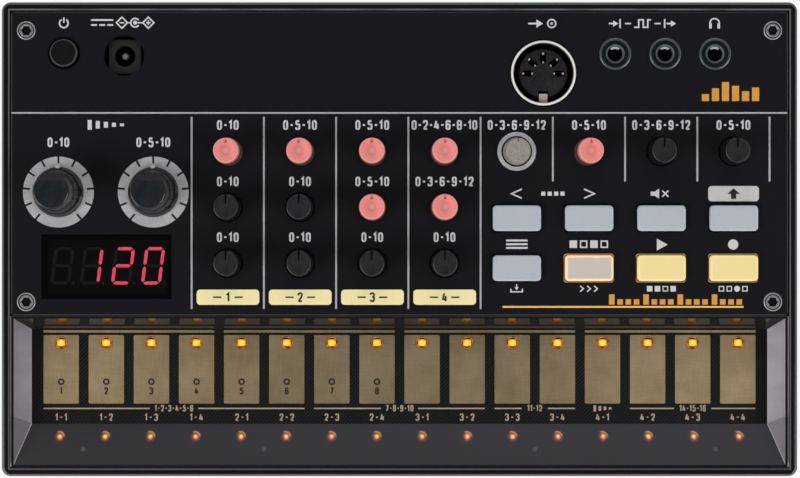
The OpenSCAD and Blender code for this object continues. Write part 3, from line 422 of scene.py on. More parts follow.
def pad_plating():
    """Dull gold contact plating, brushed both ways, duller in patches, lighter towards the strip's ends."""
    f = Finish("pad_gold", (138, 122, 95), 0.46, Metallic=0.25, specular=0.4)
    long_lines = f.noise(1, 5, 0.65, vector=f.mapped((5200, 260, 260)))
    cross_lines = f.noise(1, 5, 0.65, vector=f.mapped((300, 4200, 300)))
    patches = f.noise(130, 4, 0.6)
    fine = long_lines * 0.5 + cross_lines * 0.5
    brushed = f.mix(f.remap(fine, 0.38, 0.62), (124, 109, 84), (150, 134, 105))
    dull = f.mix(f.remap(patches, 0.35, 0.65), (122, 106, 80), (146, 130, 104))
    outward = f.remap(abs(f.place()[0]), 15, 90, smooth=True)
    lift = f.mix(outward, (257, 255, 252), (308, 300, 290))
    f.feed("Base Color", f.times(f.mix(0.45, brushed, dull), lift))
    f.rough(patches, 0.4, 0.54)
    f.bump(fine, 0.008)


def amber_lens():
    """Lit lens: hot in the middle, deep amber at its rim."""
    f = Finish("lamp_amber", (110, 78, 14), 0.25, specular=0.4)
    x, y, _ = f.place()
    far = f.distance(*f.from_lamp(x, y, PAD_LAMP_Y)) + f.jitter(2200, 2, 0.5)
    f.emit(f.ramp(far, (0.1, (255, 244, 140)), (0.45, (255, 228, 84)), (0.8, (242, 186, 36)),
                  (1, (214, 146, 18))), 0.92)
    f.bump(f.noise(2600, 2), 0.01)


def lamp_ring():
    """Copper ring round a lamp, with an uneven painted glow of the lamp's light."""
    f = Finish("lamp_ring", (120, 66, 26), 0.4, Metallic=0.3)
    f.tint(f.noise(2400), 0.2)
    f.emit(f.ramp(f.noise(900, 3), (0.36, (92, 40, 18)), (0.62, (226, 134, 56))), 0.75)


# ---- Display ----

def display():
    """Smoked pane, which takes out most of the light and keeps its polish, over lit and unlit segments; the
    dark face and the unlit segments have a faint painted glow.
    """
    f = Finish("window_smoke", (120, 118, 120), 0.04, Transmission_Weight=1, IOR=1.49)
    f.rough(f.noise(300, 4), 0.02, 0.06)
    f.bump(f.noise(90, 2), 0.002)
    f = moulded("display_black", (38, 38, 38), 0.55, grain=0.015, tint=0.25)
    # Faint painted glow on the dark face
    f.emit((26, 26, 26), 0.8)
    f = Finish("segment_red", (120, 20, 40), 0.4)
    f.emit(f.ramp(f.noise(2200, 3), (0.3, (232, 60, 92)), (0.65, (255, 100, 134))), 4.3)
    f = Finish("segment_off", (52, 49, 49), 0.5)
    f.tint(f.noise(900, 3), 0.2)
    # Faint painted glow on the unlit segments
    f.emit((62, 59, 59), 1)


# ---- Knobs and keys ----

def dial_plastic():
    """Smoked knob with a satin gloss; the flat top is a shade greener and lighter, and the flank is painted
    darker as shade.
    """
    f = Finish("dial_black", (22, 23, 25), 0.2)
    top = f.remap(f.normal()[2], 0.93, 0.99)
    face = f.mix(f.noise(260, 4, 0.6), (20, 23, 26), (34, 39, 42))
    flank = f.mix(f.noise(150, 3), (14, 14, 15), (25, 25, 27))
    f.feed("Base Color", f.mix(top, flank, face))
    f.feed("Roughness", f.remap(f.noise(600, 4) + top * 0.3, 0.3, 1, 0.13, 0.36))
    f.bump(f.noise(1200, 3), 0.004)


def lit_knob():
    """Translucent pink knob with a painted glow: pink face with a pale edge, a duller middle over the
    spindle.
    """
    f = Finish("knob_red", (226, 120, 116), 0.3)
    x, y, z = f.place()
    r = f.distance(x, y)
    # Blotches, which fade out before the edge ring
    blotch = f.jitter(700, 3, 1.1, 0.6) * f.remap(r, 1.9, 2.5, 1, 0)
    face = f.ramp((r + blotch) / 3.4,
                  (0, (228, 152, 156)), (0.13, (212, 142, 134)), (0.26, (204, 130, 118)),
                  (0.44, (232, 130, 126)), (0.66, (238, 138, 134)), (0.755, (230, 132, 128)),
                  (0.8, (222, 158, 156)), (0.875, (216, 152, 150)), (0.93, (150, 66, 62)))
    # Painted light: the face is brighter towards one side
    warm = f.remap(x + y * 0.3, 0.2, 1.9, 0, 0.75, smooth=True) * f.remap(r, 2.2, 2.55, 1, 0.15)
    face = f.mix(warm, face, (255, 146, 142))
    # Below the face the flank is a dull brown red, with painted shade and light by height: darkest low down,
    # lighter towards the face
    flank = f.ramp(f.remap(z, PANEL_TOP, FACE_TOP),
                   (0, (92, 74, 66)), (0.12, (104, 70, 62)), (0.2, (54, 18, 18)),
                   (0.42, (96, 42, 40)), (0.62, (172, 98, 92)), (0.78, (214, 136, 130)),
                   (0.88, (186, 100, 96)), (0.95, (228, 158, 154)))
    color = f.mix(f.remap(f.normal()[2], 0.75, 0.95), flank, face)
    # Inner end of the notch
    stroke = (abs(x) < 0.36) * (abs(y - 2.1) < 0.3)
    color = f.mix(stroke * 0.7, color, (168, 74, 62))
    # Half of the colour is reflected, the other half is a painted glow
    f.feed("Base Color", f.times(color, grey(0.5)))
    f.emit(color, 0.48)
    f.rough(f.noise(900, 3), 0.24, 0.42)
    f.bump(f.noise(1600, 3), 0.008)


def grey_knob():
    """Speckled grey plastic."""
    f = Finish("knob_grey", (146, 143, 135), 0.4)
    speck = f.noise(3600, 3, 0.75)
    f.speckled(speck, 0.14, (124, 121, 113), (168, 165, 156))
    f.rough(f.noise(800), 0.32, 0.48)
    f.bump(speck, 0.012)


def black_knob():
    """Satin black knob, streaked across its face; the flank is painted darker as shade."""
    f = Finish("knob_black", (34, 35, 38), 0.34, specular=0.4)
    streaks = f.noise(1, 3, 0.6, vector=f.mapped((1900, 260, 260)))
    face = f.mix(f.remap(streaks, 0.35, 0.65), (25, 26, 28), (41, 42, 46))
    flank = f.mix(f.noise(500, 4), (13, 13, 15), (23, 23, 26))
    f.feed("Base Color", f.mix(f.remap(f.normal()[2], 0.2, 0.8), flank, face))
    f.rough(f.noise(900, 4, 0.65), 0.26, 0.42)
    f.bump(f.noise(3200, 3, 0.6), 0.008)


def silicone(name, inner, outer, edge, edge_w, share, glow, glow_edge):
    """Key: edge is the colour of its rim, share the part that reflects, glow how strongly it is lit."""
    f = Finish(name, inner, 0.52, specular=0.35)
    x, y, _ = f.place()
    rim = f.math("MINIMUM", KEY_W / 2 - abs(x), KEY_D / 2 - abs(y)) + f.jitter(600, 3, 0.3)
    k = f.remap(rim, edge_w * 0.6, edge_w * 1.4, 1, 0, smooth=True)
    # On the grey keys the rim colour is a painted highlight; on the lit keys it is the backlight's glow
    color = f.mix(k, f.mix(f.noise(140, 3), inner, outer), edge)
    f.feed("Base Color", f.times(color, grey(share)))
    if glow:
        f.emit(color, f.remap(k, 0, 1, glow, glow_edge))
    f.rough(f.noise(900, 4), 0.45, 0.6)
    f.bump(f.noise(3800, 2, 0.6), 0.008)


def light_guide():
    """Dim orange light round a lit key."""
    f = Finish("key_light", (84, 32, 10), 0.5)
    f.emit(f.ramp(f.noise(500, 3), (0.3, (104, 34, 8)), (0.7, (138, 58, 16))), 0.62)


# ---- Sockets, boards and cells ----

def nickel():
    """Plated ring, bright on its face, painted dark down its bore as shade, with a duller key."""
    f = metal("shell_nickel", (254, 251, 245), 0.34, metallic=0.12, tint=0.03)
    x, y, _ = f.place()
    r = f.distance(x - MIDI[0], y - MIDI[1])
    face = f.mix(f.noise(900), (246, 243, 237), f.color)
    key = f.mix(f.noise(2200), (176, 160, 150), (206, 194, 184))
    face = f.mix(f.remap(r, SHELL_INNER - 0.08, SHELL_INNER + 0.02), key, face)
    # Painted shade down the bore and on a thin band at the ring's inner edge
    inner = f.remap(r, SHELL_INNER, SHELL_INNER + 0.04) * f.remap(r, 7.32, 7.38, 1, 0)
    dark = f.math("MAXIMUM", f.remap(f.normal()[2], 0.2, 0.6, 1, 0), inner)
    f.feed("Base Color", f.mix(dark, face, (46, 43, 40)))


def insulator():
    """Glass-filled insulator of the five-pole socket, with a speckled face."""
    f = Finish("insulator", (29, 29, 32), 0.5, specular=0.2)
    speck = f.noise(2600, 3, 0.8)
    f.speckled(speck, 0.12, (19, 19, 21), (40, 39, 43))
    f.rough(speck, 0.42, 0.58)
    f.bump(speck, 0.015)


def board_green():
    """Green solder mask over copper tracks."""
    f = Finish("board_green", (24, 78, 44), 0.32)
    tracks = f.out("TexBrick", {"Vector": f.coord, "Scale": 160, "Mortar Size": 0.1, "Color1": BLACK,
                                "Color2": grey(0.3), "Mortar": WHITE}, output=1)
    f.feed("Base Color", f.mix(tracks, (20, 70, 40), (44, 104, 58)))
    f.rough(f.noise(500), 0.26, 0.42)
    f.bump(tracks, 0.02)


def cell_wrap():
    """Plain sleeve of a battery cell in two tones."""
    f = Finish("cell_grey", (120, 122, 126), 0.3, Metallic=0.4)
    bands = f.math("FRACT", f.parts(f.coord)[0] * 19.6)
    band = f.math("GREATER_THAN", bands, 0.32)
    f.feed("Base Color", f.mix(band, (186, 188, 192), (66, 92, 86)))
    f.rough(f.noise(300), 0.22, 0.4)
    f.bump(f.noise(900), 0.006)


for make in (housing_gloss, panel_paint, smoked, laminate, pad_plating, amber_lens, lamp_ring, display,
             dial_plastic, lit_knob, grey_knob, black_knob, light_guide, nickel, insulator, board_green,
             cell_wrap):
    make()

# Grey keys: their lighter rim is a painted highlight
silicone("key_grey", (181, 186, 197), (190, 193, 202), (196, 200, 210), 0.3, 1, 0, 0)
silicone("key_warm", (208, 198, 187), (212, 203, 193), (255, 216, 168), 0.52, 0.92, 0.05, 0.36)
silicone("key_yellow", (240, 218, 148), (245, 225, 160), (252, 230, 168), 0.45, 0.76, 0.28, 0.34)

moulded("case_satin", (27, 27, 29), 0.42, grain=0.022, spread=0.07, tint=0.15)
# The screws' edge colour is a painted highlight on their lips
moulded("screw_black", (21, 21, 23), 0.24, grain=0.003, tint=0.2, edge=(148, 148, 152))
# Slanting flat of the large knobs: a lighter copy of their plastic, which paints light on it
moulded("dial_flat", (45, 44, 50), 0.6, grain=0.006, tint=0.08, specular=0.3)
moulded("pot_body", (40, 88, 60), 0.5, grain=0.02)
moulded("switch_dark", (48, 48, 50), 0.5)
# Edge colours of the power cap and the socket rims are painted highlights on their bevels
moulded("power_black", (15, 15, 15), 0.3, grain=0.006, tint=0.2, edge=(52, 52, 55))
moulded("socket_black", (17, 21, 23), 0.26, grain=0.004, spread=0.06, tint=0.2, edge=(84, 88, 91))
moulded("inlet_black", (34, 33, 30), 0.45, tint=0.2)
moulded("speaker_black", (34, 34, 36), 0.6, grain=0.03)
moulded("rubber_black", (26, 26, 27), 0.72, grain=0.03, tint=0.2)

metal("screw_steel", (196, 196, 198), 0.28, tint=0.08)
metal("shaft_steel", (200, 200, 204), 0.22, along=(1, 1, 14), tint=0.06)
metal("contact_metal", (236, 234, 228), 0.3, metallic=0.3, tint=0.06)
metal("pin_metal", (150, 149, 146), 0.34, metallic=0.5, tint=0.25)

printed("ink_light", (212, 212, 214))
printed("ink_line", (178, 178, 180))
printed("ink_silver", (182, 182, 184), 0.45, 0.34)
printed("ink_pale", (204, 203, 202), 0.45)
printed("ink_black", (10, 10, 11))
printed("ink_cream", (255, 240, 180), spread=0.04)
printed("ink_dark", (42, 37, 29))
printed("ink_orange", (222, 158, 68), spread=0.08)
printed("ink_amber", (248, 196, 104), spread=0.06)
printed("ink_tan", (178, 160, 138))
printed("ink_brown", (38, 30, 22), spread=0.12)

SLOTS = {  # material slot of the record -> CAD nodes
    "case_satin": "lower_case battery_door",
    "case_gloss": "upper_case",
    "smoked_plastic": "touch_bezel",
    "panel_paint": "faceplate",
    "screw_black": "panel_screws",
    "board_black": "touch_board",
    "pad_gold": "touch_pads",
    "lamp_amber": "touch_lamps",
    "window_smoke": "display_window",
    "display_black": "display_module",
    "board_green": "main_board socket_board",
    "screw_steel": "board_screws case_screws",
    "pot_body": "potentiometers",
    "shaft_steel": "time_shaft depth_shaft",
    "switch_dark": "button_switches power_switch",
    "power_black": "power_button",
    "socket_black": "dc_jack midi_insulator sync_in_jack sync_out_jack headphone_jack",
    "contact_metal": "dc_pin midi_contacts battery_contacts",
    "shell_nickel": "midi_shell",
    "speaker_black": "speaker",
    "cell_grey": "battery_cells",
    "rubber_black": "feet",
}
for slot, names in SLOTS.items():
    for node in names.split():
        NODES[node].data.materials.clear()
        NODES[node].data.materials.append(MAT["pin_metal" if node == "dc_pin" else slot])


# ---- Mesh helpers ----

def new_piece(name, shape, material, smooth_angle=None):
    """A mesh object from the points in mm and the faces of shape."""
    mesh = bpy.data.meshes.new(name)
    mesh.from_pydata([tuple(c * MM for c in v) for v in shape[0]], [], shape[1])
    bm = bmesh.new()
    bm.from_mesh(mesh)
    bmesh.ops.recalc_face_normals(bm, faces=bm.faces)
    bm.to_mesh(mesh)
    bm.free()
    if smooth_angle is not None:
        mesh.polygons.foreach_set("use_smooth", [True] * len(mesh.polygons))
        mesh.set_sharp_from_angle(angle=radians(smooth_angle))
    mesh.materials.append(MAT[material])
    return shown(name, mesh)


def shown(name, mesh):
    o = bpy.data.objects.new(name, mesh)
    scene.collection.objects.link(o)
    return o


def place(o, at=(0, 0), body="housing", replaces=None):
    o.location = (at[0] * MM, at[1] * MM, 0)
    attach(o, body)
    if replaces:
        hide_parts(replaces)


def revolved(profile, segments=96, closed=False):
    """Profile of (radius, height) turned about Z; radius 0 closes it, or closed joins its ends."""
    verts, rings = [], []
    for r, z in profile:
        if r < 1e-6:
            rings.append([len(verts)])
            verts.append((0, 0, z))
        else:
            rings.append(list(range(len(verts), len(verts) + segments)))
            verts += [(*polar(r, 360 * i / segments), z) for i in range(segments)]
    faces = []
    for low, high in zip(rings, rings[1:] + (rings[:1] if closed else [])):
        for i in range(segments):
            j = (i + 1) % segments
            if len(low) == 1:
                faces.append((low[0], high[i], high[j]))
            elif len(high) == 1:
                faces.append((low[i], low[j], high[0]))
            else:
                faces.append((low[i], low[j], high[j], high[i]))
    return verts, faces


def fillet(cx, cz, r, a0, a1, steps=5):
    """Profile points on an arc, from angle a0 to a1 in degrees."""
    arc = [polar(r, a0 + (a1 - a0) * i / steps) for i in range(steps + 1)]
    return [(cx + x, cz + z) for x, z in arc]


def outline(w, d, r, steps=6):
    """Flat points of a rounded rectangle."""
    out = []
    for sx, sy, a0 in ((1, 1, 0), (-1, 1, 90), (-1, -1, 180), (1, -1, 270)):
        out += fillet(sx * (w / 2 - r), sy * (d / 2 - r), r, a0, a0 + 90, steps)
    return out


def around(x, y, r, n):
    """Flat points of a circle."""
    return shifted([polar(r, 360 * i / n) for i in range(n)], x, y)


def shifted(points, dx, dy):
    return [(x + dx, y + dy) for x, y in points]


def turned(points, degrees):
    c, s = polar(1, degrees)
    return [(c * x - s * y, s * x + c * y) for x, y in points]


def raised(points, z):
    return [(x, y, z) for x, y in points]


def stacked(loops, closed=False):
    """Skin over loops of equal length, from low to high; it has end caps, or goes on to the first loop."""
    n, m = len(loops[0]), len(loops)
    verts = [v for ring in loops for v in ring]
    faces = [(k * n + i, k * n + (i + 1) % n, (k + 1) % m * n + (i + 1) % n, (k + 1) % m * n + i)
             for k in range(m if closed else m - 1) for i in range(n)]
    if not closed:
        faces += [tuple(range(n - 1, -1, -1)), tuple(range((m - 1) * n, m * n))]
    return verts, faces


def block(*layers, closed=False):
    """Rounded block through layers of (width, depth, corner radius, height)."""
    return stacked([raised(outline(w, d, r), z) for w, d, r, z in layers], closed)


def pillar(points, heights):
    """Upright prism over flat points, with a ring of them at each height."""
    return stacked([raised(points, z) for z in heights])


def moved(shape, dx, dy):
    return [(x + dx, y + dy, z) for x, y, z in shape[0]], shape[1]


def joined(*shapes):
    verts, faces = [], []
    for v, fs in shapes:
        base = len(verts)
        verts.extend(v)
        faces.extend(tuple(i + base for i in face) for face in fs)
    return verts, faces


def cut(o, shape, material):
    """Takes the volume of shape out of o, and keeps the result as o's own mesh."""
    cutter = new_piece("cutter", shape, material)
    bpy.context.view_layer.update()
    m = o.modifiers.new("cut", "BOOLEAN")
    m.operation = "DIFFERENCE"
    m.object = cutter
    m.solver = "EXACT"
    made = bpy.data.meshes.new_from_object(o.evaluated_get(bpy.context.evaluated_depsgraph_get()))
    o.modifiers.clear()
    o.data = made
    bpy.data.objects.remove(cutter)
    return o


# ---- Small knobs ----

def knob_mesh(material, inner):
    """Small knob; its notch runs from the edge to inner mm from the axis, and narrows on the way."""
    profile = [(0, 24.9), (1.5, 24.9), (1.5, 28.9), (3.35, 28.9), (3.35, 33.55), (3.32, 33.7), (3, 39.9)]
    profile += fillet(2.62, 40.12, 0.38, 4, 84, 6)
    profile += [(2.45, 40.495), (2.2, 40.46), (1.2, 40.44), (0, 40.43)]
    o = new_piece("knob", revolved(profile), material, 38)
    notch_w, notch_low = 0.56, FACE_TOP - 1
    levels = ((notch_low, -0.12), (notch_low + 0.7, 0), (FACE_TOP - 0.1, 0), (FACE_TOP + 0.4, 0.34))
    notch = stacked([[(x * (0.78 + 0.11 * y), y + inner + 2, z)
                      for x, y in outline(notch_w + grow, 4 + grow, 0.12)] for z, grow in levels])
    cut(o, notch, material)
    o.data.set_sharp_from_angle(angle=radians(38))
    return o


NOTCH_ENDS = {"knob_red": 1.85, "knob_grey": 2.2, "knob_black": 0.75}
masters = {slot: knob_mesh(slot, inner) for slot, inner in NOTCH_ENDS.items()}
for n, name in enumerate(KNOBS):
    slot = "knob_red" if n in RED_KNOBS else "knob_grey" if n == GREY_KNOB else "knob_black"
    data = masters[slot].data.copy()
    data.materials.clear()
    data.materials.append(MAT[slot])
    place(shown(name.replace("_knob", "_cap"), data), knob_place(n), name, name)
for o in masters.values():
    bpy.data.objects.remove(o)


# ---- Large knobs ----

def dial_mesh():
    """Flared knob with a slanting flat on the pointer's side, of a material of its own, which is lighter:
    painted light.
    """
    profile = [(0, 43.5), (3.02, 43.5), (3.02, 34.2), (4.3, 34.2), (4.3, 33.2), (5.9, 33.2), (6, 33.3)]
    profile += [(6, 34)]
    profile += fillet(5.8, 34, 0.2, 0, 80, 3)
    profile += [(5.45, 34.55), (5.2, 34.95), (4.95, 35.6), (4.75, 36.4), (4.62, 37.2), (4.5, 38.4)]
    profile += [(4.36, 45.2)]
    profile += fillet(3.8, 45.44, 0.56, 2, 86, 8)
    profile += [(3.6, 45.98), (3.4, 45.96), (1.6, 45.95), (0, 45.95)]
    o = new_piece("dial", revolved(profile, 128), "dial_black", 32)
    lean, flat_y = radians(15.6), 2.5
    c, s = cos(lean), sin(lean)
    verts, faces = pillar([(-8, 0), (8, 0), (8, 8), (-8, 8)], (-10.2, 6))
    verts = [(x, flat_y + y * c - z * s, DIAL_TOP + y * s + z * c) for x, y, z in verts]
    cut(o, (verts, faces), "dial_black")
    o.data.set_sharp_from_angle(angle=radians(32))
    o.data.materials.append(MAT["dial_flat"])
    for p in o.data.polygons:
        if p.normal.z > 0.998 or (abs(p.normal.x) < 0.01 and abs(p.normal.y - c) < 0.01):
            p.use_smooth = False
            p.material_index = 0 if p.normal.z > 0.5 else 1
    return o


dial = dial_mesh()
pointer = block((1.05, 0.8, 0.15, 33.5), (1.05, 0.8, 0.15, 34.15), (0.9, 0.65, 0.15, 34.28))
for which, (x, y) in DIALS.items():
    body = f"{which}_dial"
    place(shown(body + "_cap", dial.data), (x, y), body, f"{which}_knob")
    place(new_piece(body + "_pointer", pointer, "ink_silver", 30), (x, y + 6.05), body)
bpy.data.objects.remove(dial)

# ---- Keys: pillowed cap, flange under the panel and stem ----
CORNER = 0.95
cap = block(*[(KEY_W - inset, KEY_D - inset, CORNER - tighter, KEY_TOP - down) for inset, tighter, down in (
    (0, 0, 5.4), (0, 0, 0.42), (0.05, 0, 0.26), (0.2, 0, 0.12),
    (0.42, 0.1, 0.03), (0.75, 0.2, 0), (2.2, 0.3, 0.03), (4.6, 0.4, 0.06))])
flange = block((13.7, 8.4, 0.4, 28.1), (13.7, 8.4, 0.4, 29))
stem = revolved([(0, 25.5), (1.6, 25.5), (1.6, 28.3), (0, 28.3)], 32)
key = joined(cap, flange, stem)
guide = block(*[(11.76 + out, 6.46 + out, r, PANEL_TOP - down) for out, r, down in (
    (0, 0.98, 0.9), (0.38, 1.1, 0.9), (0.38, 1.1, 0.4), (0, 0.98, 0.36))], closed=True)
for n, name in enumerate(BUTTONS):
    slot = "key_grey" if n < 5 else "key_warm" if n == 5 else "key_yellow"
    place(new_piece(name.replace("_button", "_key"), key, slot, 40), key_place(n), name, name)
    if n >= 5:
        glow = new_piece(name.replace("_button", "_light_guide"), guide, "key_light", 30)
        place(glow, key_place(n), name)


# ---- Panel screws ----

def circle(r, z, hexagon=0):
    """Points of a circle at height z; hexagon is how far it goes towards a hexagon of that inner radius."""
    reach = [(a, r / cos(radians(a % 60 - 30))) for a in range(0, 360, 5)]
    return [(*polar(r + (flat - r) * hexagon, a), z) for a, flat in reach]


# Round head: raised outer lip, dished face, and a lip round the hexagon socket
levels = [circle(r, z) for r, z in (
    (1.25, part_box("panel_screws")[0][2] / MM), (1.25, 31.7), (2.27, 31.7), (2.27, 32.68), (2.25, 32.72),
    (2, 32.84), (1.94, 32.82), (1.86, 32.66), (1.66, 32.64), (1.62, 32.68), (1.46, 32.76), (1.38, 32.76),
    (1.27, 32.66))]
levels += [circle(1.1, 32.58, hexagon=0.9), circle(1.07, 31.9, hexagon=1)]
screws = joined(*[moved(stacked(levels), x, y) for x in (-90.5, 90.5) for y in (-15.2, 50.6)])
screws = new_piece("panel_screw_set", screws, "screw_black", 30)
place(screws, replaces="panel_screws")


# ---- Five-pole socket ----
POLE_ANGLES = [45 * k for k in range(5)]


def insulator_mesh():
    """Square body under a round core, with the key's slot and a pocket round each pair of contact blades."""
    body = block((17, 17, 0.3, 16), (17, 17, 0.3, 21))
    core = revolved([(0, 21), (5.95, 21), (5.95, 31.15), (5.9, 31.32), (5.75, 31.4), (0, 31.4)], 96)
    holes = [pillar(shifted(outline(2.4, 4.7, 0.05), 0, -6.65), (20, 33))]
    pocket = shifted(outline(2.9, 1.5, 0.74), 3.75, 0)
    holes += [pillar(turned(pocket, a), (24, 33)) for a in POLE_ANGLES]
    top = cut(new_piece("core", core, "insulator"), joined(*holes), "insulator")
    made = ([tuple(v.co / MM) for v in top.data.vertices], [tuple(p.vertices) for p in top.data.polygons])
    bpy.data.objects.remove(top)
    return joined(body, made)


def blade(far, angle):
    """Contact blade, drawn in at its tip."""
    foot, tip = [turned(shifted([(x * size, y * size) for x, y in outline(0.5, 0.62, 0.2)], far, 0), angle)
                 for size in (1, 0.6)]
    return stacked([raised(foot, 22), raised(foot, 30.9), raised(tip, 31.1)])


core = new_piece("midi_core", insulator_mesh(), "insulator", 30)
place(core, MIDI, replaces="midi_insulator")
blades = joined(*[blade(far, a) for a in POLE_ANGLES for far in (4.87, 2.64)])
place(new_piece("midi_blades", blades, "contact_metal", 40), MIDI)

# ---- 3.5 mm sockets: rim with a painted highlight, and the sleeve contact at the top of the mouth ----
rim = revolved([(3.2, 32.6), (3.84, 32.6), (3.84, 32.82), (3.82, 32.86), (3.56, 32.975), (3.46, 32.97),
                (3.3, 32.78)], 96, closed=True)
sleeve = pillar(fillet(0, 0, 1.76, 52, 128, 19) + fillet(0, 0, 1.32, 128, 52, 19), (30.4, 31.9))
for name, x in JACKS.items():
    for part, shape, slot in (("rim", rim, "socket_black"), ("sleeve", sleeve, "contact_metal")):
        place(new_piece(name.replace("jack", part), shape, slot, 25), (x, JACK_Y))

# ---- Power inlet: body narrower than its hole, with a chamfered bore ----
body = block((8, 8.6, 0.3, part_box("dc_jack")[0][2] / MM), (8, 8.6, 0.3, 30.35), (7.7, 8.3, 0.25, 30.6))
bore = revolved([(0, 22), (2.5, 22), (2.5, 30.3), (2.95, 30.8), (0, 30.8)], 72)
inlet = cut(new_piece("dc_body", moved(body, 0, -0.2), "inlet_black", 30), bore, "inlet_black")
place(inlet, DC, replaces="dc_jack")


# ---- Printed marks ----

class Ink:
    """Collects flat raised marks between two heights, which are the panel's unless they are given."""

    def __init__(self, low=PANEL_TOP - 0.01, high=PANEL_TOP + 0.03):
        self.low, self.high, self.marks = low, high, 0
        self.verts, self.faces = [], []

    def top(self):
        """Height of the next mark; six heights take turns, so that marks that cross share no face."""
        self.marks += 1
        return self.high + 0.002 * (self.marks % 6)

    def plate(self, points):
        n, base, high = len(points), len(self.verts), self.top()
        self.verts += raised(points, self.low) + raised(points, high)
        self.faces.append(tuple(base + i for i in reversed(range(n))))
        self.faces.append(tuple(base + n + i for i in range(n)))
        self.faces += [(base + i, base + (i + 1) % n, base + n + (i + 1) % n, base + n + i) for i in range(n)]

    def band(self, left, right, closed):
        n, base, high = len(left), len(self.verts), self.top()
        for side, z in ((left, self.low), (right, self.low), (left, high), (right, high)):
            self.verts += raised(side, z)
        for i in range(n if closed else n - 1):
            j = (i + 1) % n
            a, b, c, d = (base + k * n for k in range(4))
            self.faces += [(a + i, a + j, b + j, b + i), (c + i, d + i, d + j, c + j),
                           (a + i, c + i, c + j, a + j), (b + i, b + j, d + j, d + i)]
        if not closed:
            self.faces += [(base + i, base + n + i, base + 3 * n + i, base + 2 * n + i) for i in (0, n - 1)]

    def path(self, points, width, closed=False):
        h, n = width / 2, len(points)
        left, right = [], []
        for i, (x, y) in enumerate(points):
            dirs = []
            if i or closed:
                dirs.append(Vector((x - points[i - 1][0], y - points[i - 1][1])).normalized())
            if i < n - 1 or closed:
                after = points[(i + 1) % n]
                dirs.append(Vector((after[0] - x, after[1] - y)).normalized())
            t = sum(dirs, Vector((0, 0)))
            t = t.normalized() if t.length > 1e-6 else dirs[0]
            reach = h / max(0.45, abs(t.dot(dirs[0])))
            left.append((x - t.y * reach, y + t.x * reach))
            right.append((x + t.y * reach, y - t.x * reach))
        self.band(left, right, closed)

    def rect(self, x0, y0, x1, y1):
        self.plate([(x0, y0), (x1, y0), (x1, y1), (x0, y1)])

    def box(self, x, y, half, line=0):
        """Square, open if it has a line."""
        corners = [(x - half, y - half), (x + half, y - half), (x + half, y + half), (x - half, y + half)]
        if line:
            self.path(corners, line, True)
        else:
            self.plate(corners)

    def bars(self, x, y, pitch, width, heights, foot=False):
        """Bars centred on x; y is their middle, or their foot."""
        for k, h in enumerate(heights):
            left, low = x + (k - (len(heights) - 1) / 2) * pitch - width / 2, y if foot else y - h / 2
            self.rect(left, low, left + width, low + h)

    def pill(self, x, y, w, h, r):
        self.plate(shifted(outline(w, h, r), x, y))

    def disc(self, x, y, r, n=28):
        self.plate(around(x, y, r, n))

    def ring(self, x, y, outer, inner, n=72):
        self.band(around(x, y, inner, n), around(x, y, outer, n), True)

    def arc(self, x, y, r, a0, a1, width, steps=18):
        self.path(fillet(x, y, r, a0, a1, steps), width)

    def plus(self, x, y, size, width):
        s, h = size / 2, width / 2
        self.plate(shifted([(-s, -h), (-h, -h), (-h, -s), (h, -s), (h, -h), (s, -h),
                            (s, h), (h, h), (h, s), (-h, s), (-h, h), (-s, h)], x, y))

    def minus(self, x, y, size, width):
        self.rect(x - size / 2, y - width / 2, x + size / 2, y + width / 2)

    def arrow(self, x, y, length, head, width, turn=0):
        """Arrow centred on x, y, pointing along turn degrees."""
        half, neck, h, wing = length / 2, length / 2 - head, width / 2, head * 0.62
        shape = [(-half, -h), (neck, -h), (neck, -wing), (half, 0), (neck, wing), (neck, h), (-half, h)]
        self.plate(shifted(turned(shape, turn), x, y))

    def number(self, text, x, y, height, width=None, stroke=None, gap=None):
        """Plain narrow numerals, centred on x, y."""
        stroke = stroke or height * 0.185
        width = width or height * 0.52
        gap = gap if gap is not None else height * 0.17
        inner, tall = width - stroke, height - stroke
        sizes = [stroke + 0.35 * inner if c == "1" else width * 0.75 if c == "-" else width for c in text]
        left = x - (sum(sizes) + gap * (len(text) - 1)) / 2
        for c, size in zip(text, sizes):
            start = left + stroke / 2 - (0.27 * inner if c == "1" else 0)
            for points, r, closed in DIGITS[c]:
                shape = rounded(points, r, closed)
                shape = [(start + px * inner, y + (py - 1) * tall / 2) for px, py in shape]
                self.path(shape, stroke, closed)
            left += size + gap

    def build(self, name, material, slot=None, replaces=None):
        place(new_piece(name, (self.verts, self.faces), material), replaces=replaces)


def rounded(points, radius, closed):
    """The polyline with its corners rounded off."""
    if not radius:
        return list(points)
    out, n = [], len(points)
    for i, p in enumerate(points):
        if not closed and i in (0, n - 1):
            out.append(p)
            continue
        a, b, v = Vector(points[i - 1]), Vector(points[(i + 1) % n]), Vector(p)
        r = min(radius, (a - v).length * 0.5, (b - v).length * 0.5)
        start, end = v + (a - v).normalized() * r, v + (b - v).normalized() * r
        for k in range(6):
            t = k / 5
            q = start * (1 - t) ** 2 + v * 2 * t * (1 - t) + end * t * t
            if not out or (q - Vector(out[-1])).length > 1e-3:
                out.append((q.x, q.y))
    if closed and (Vector(out[0]) - Vector(out[-1])).length < 1e-3:
        out.pop()
    return out


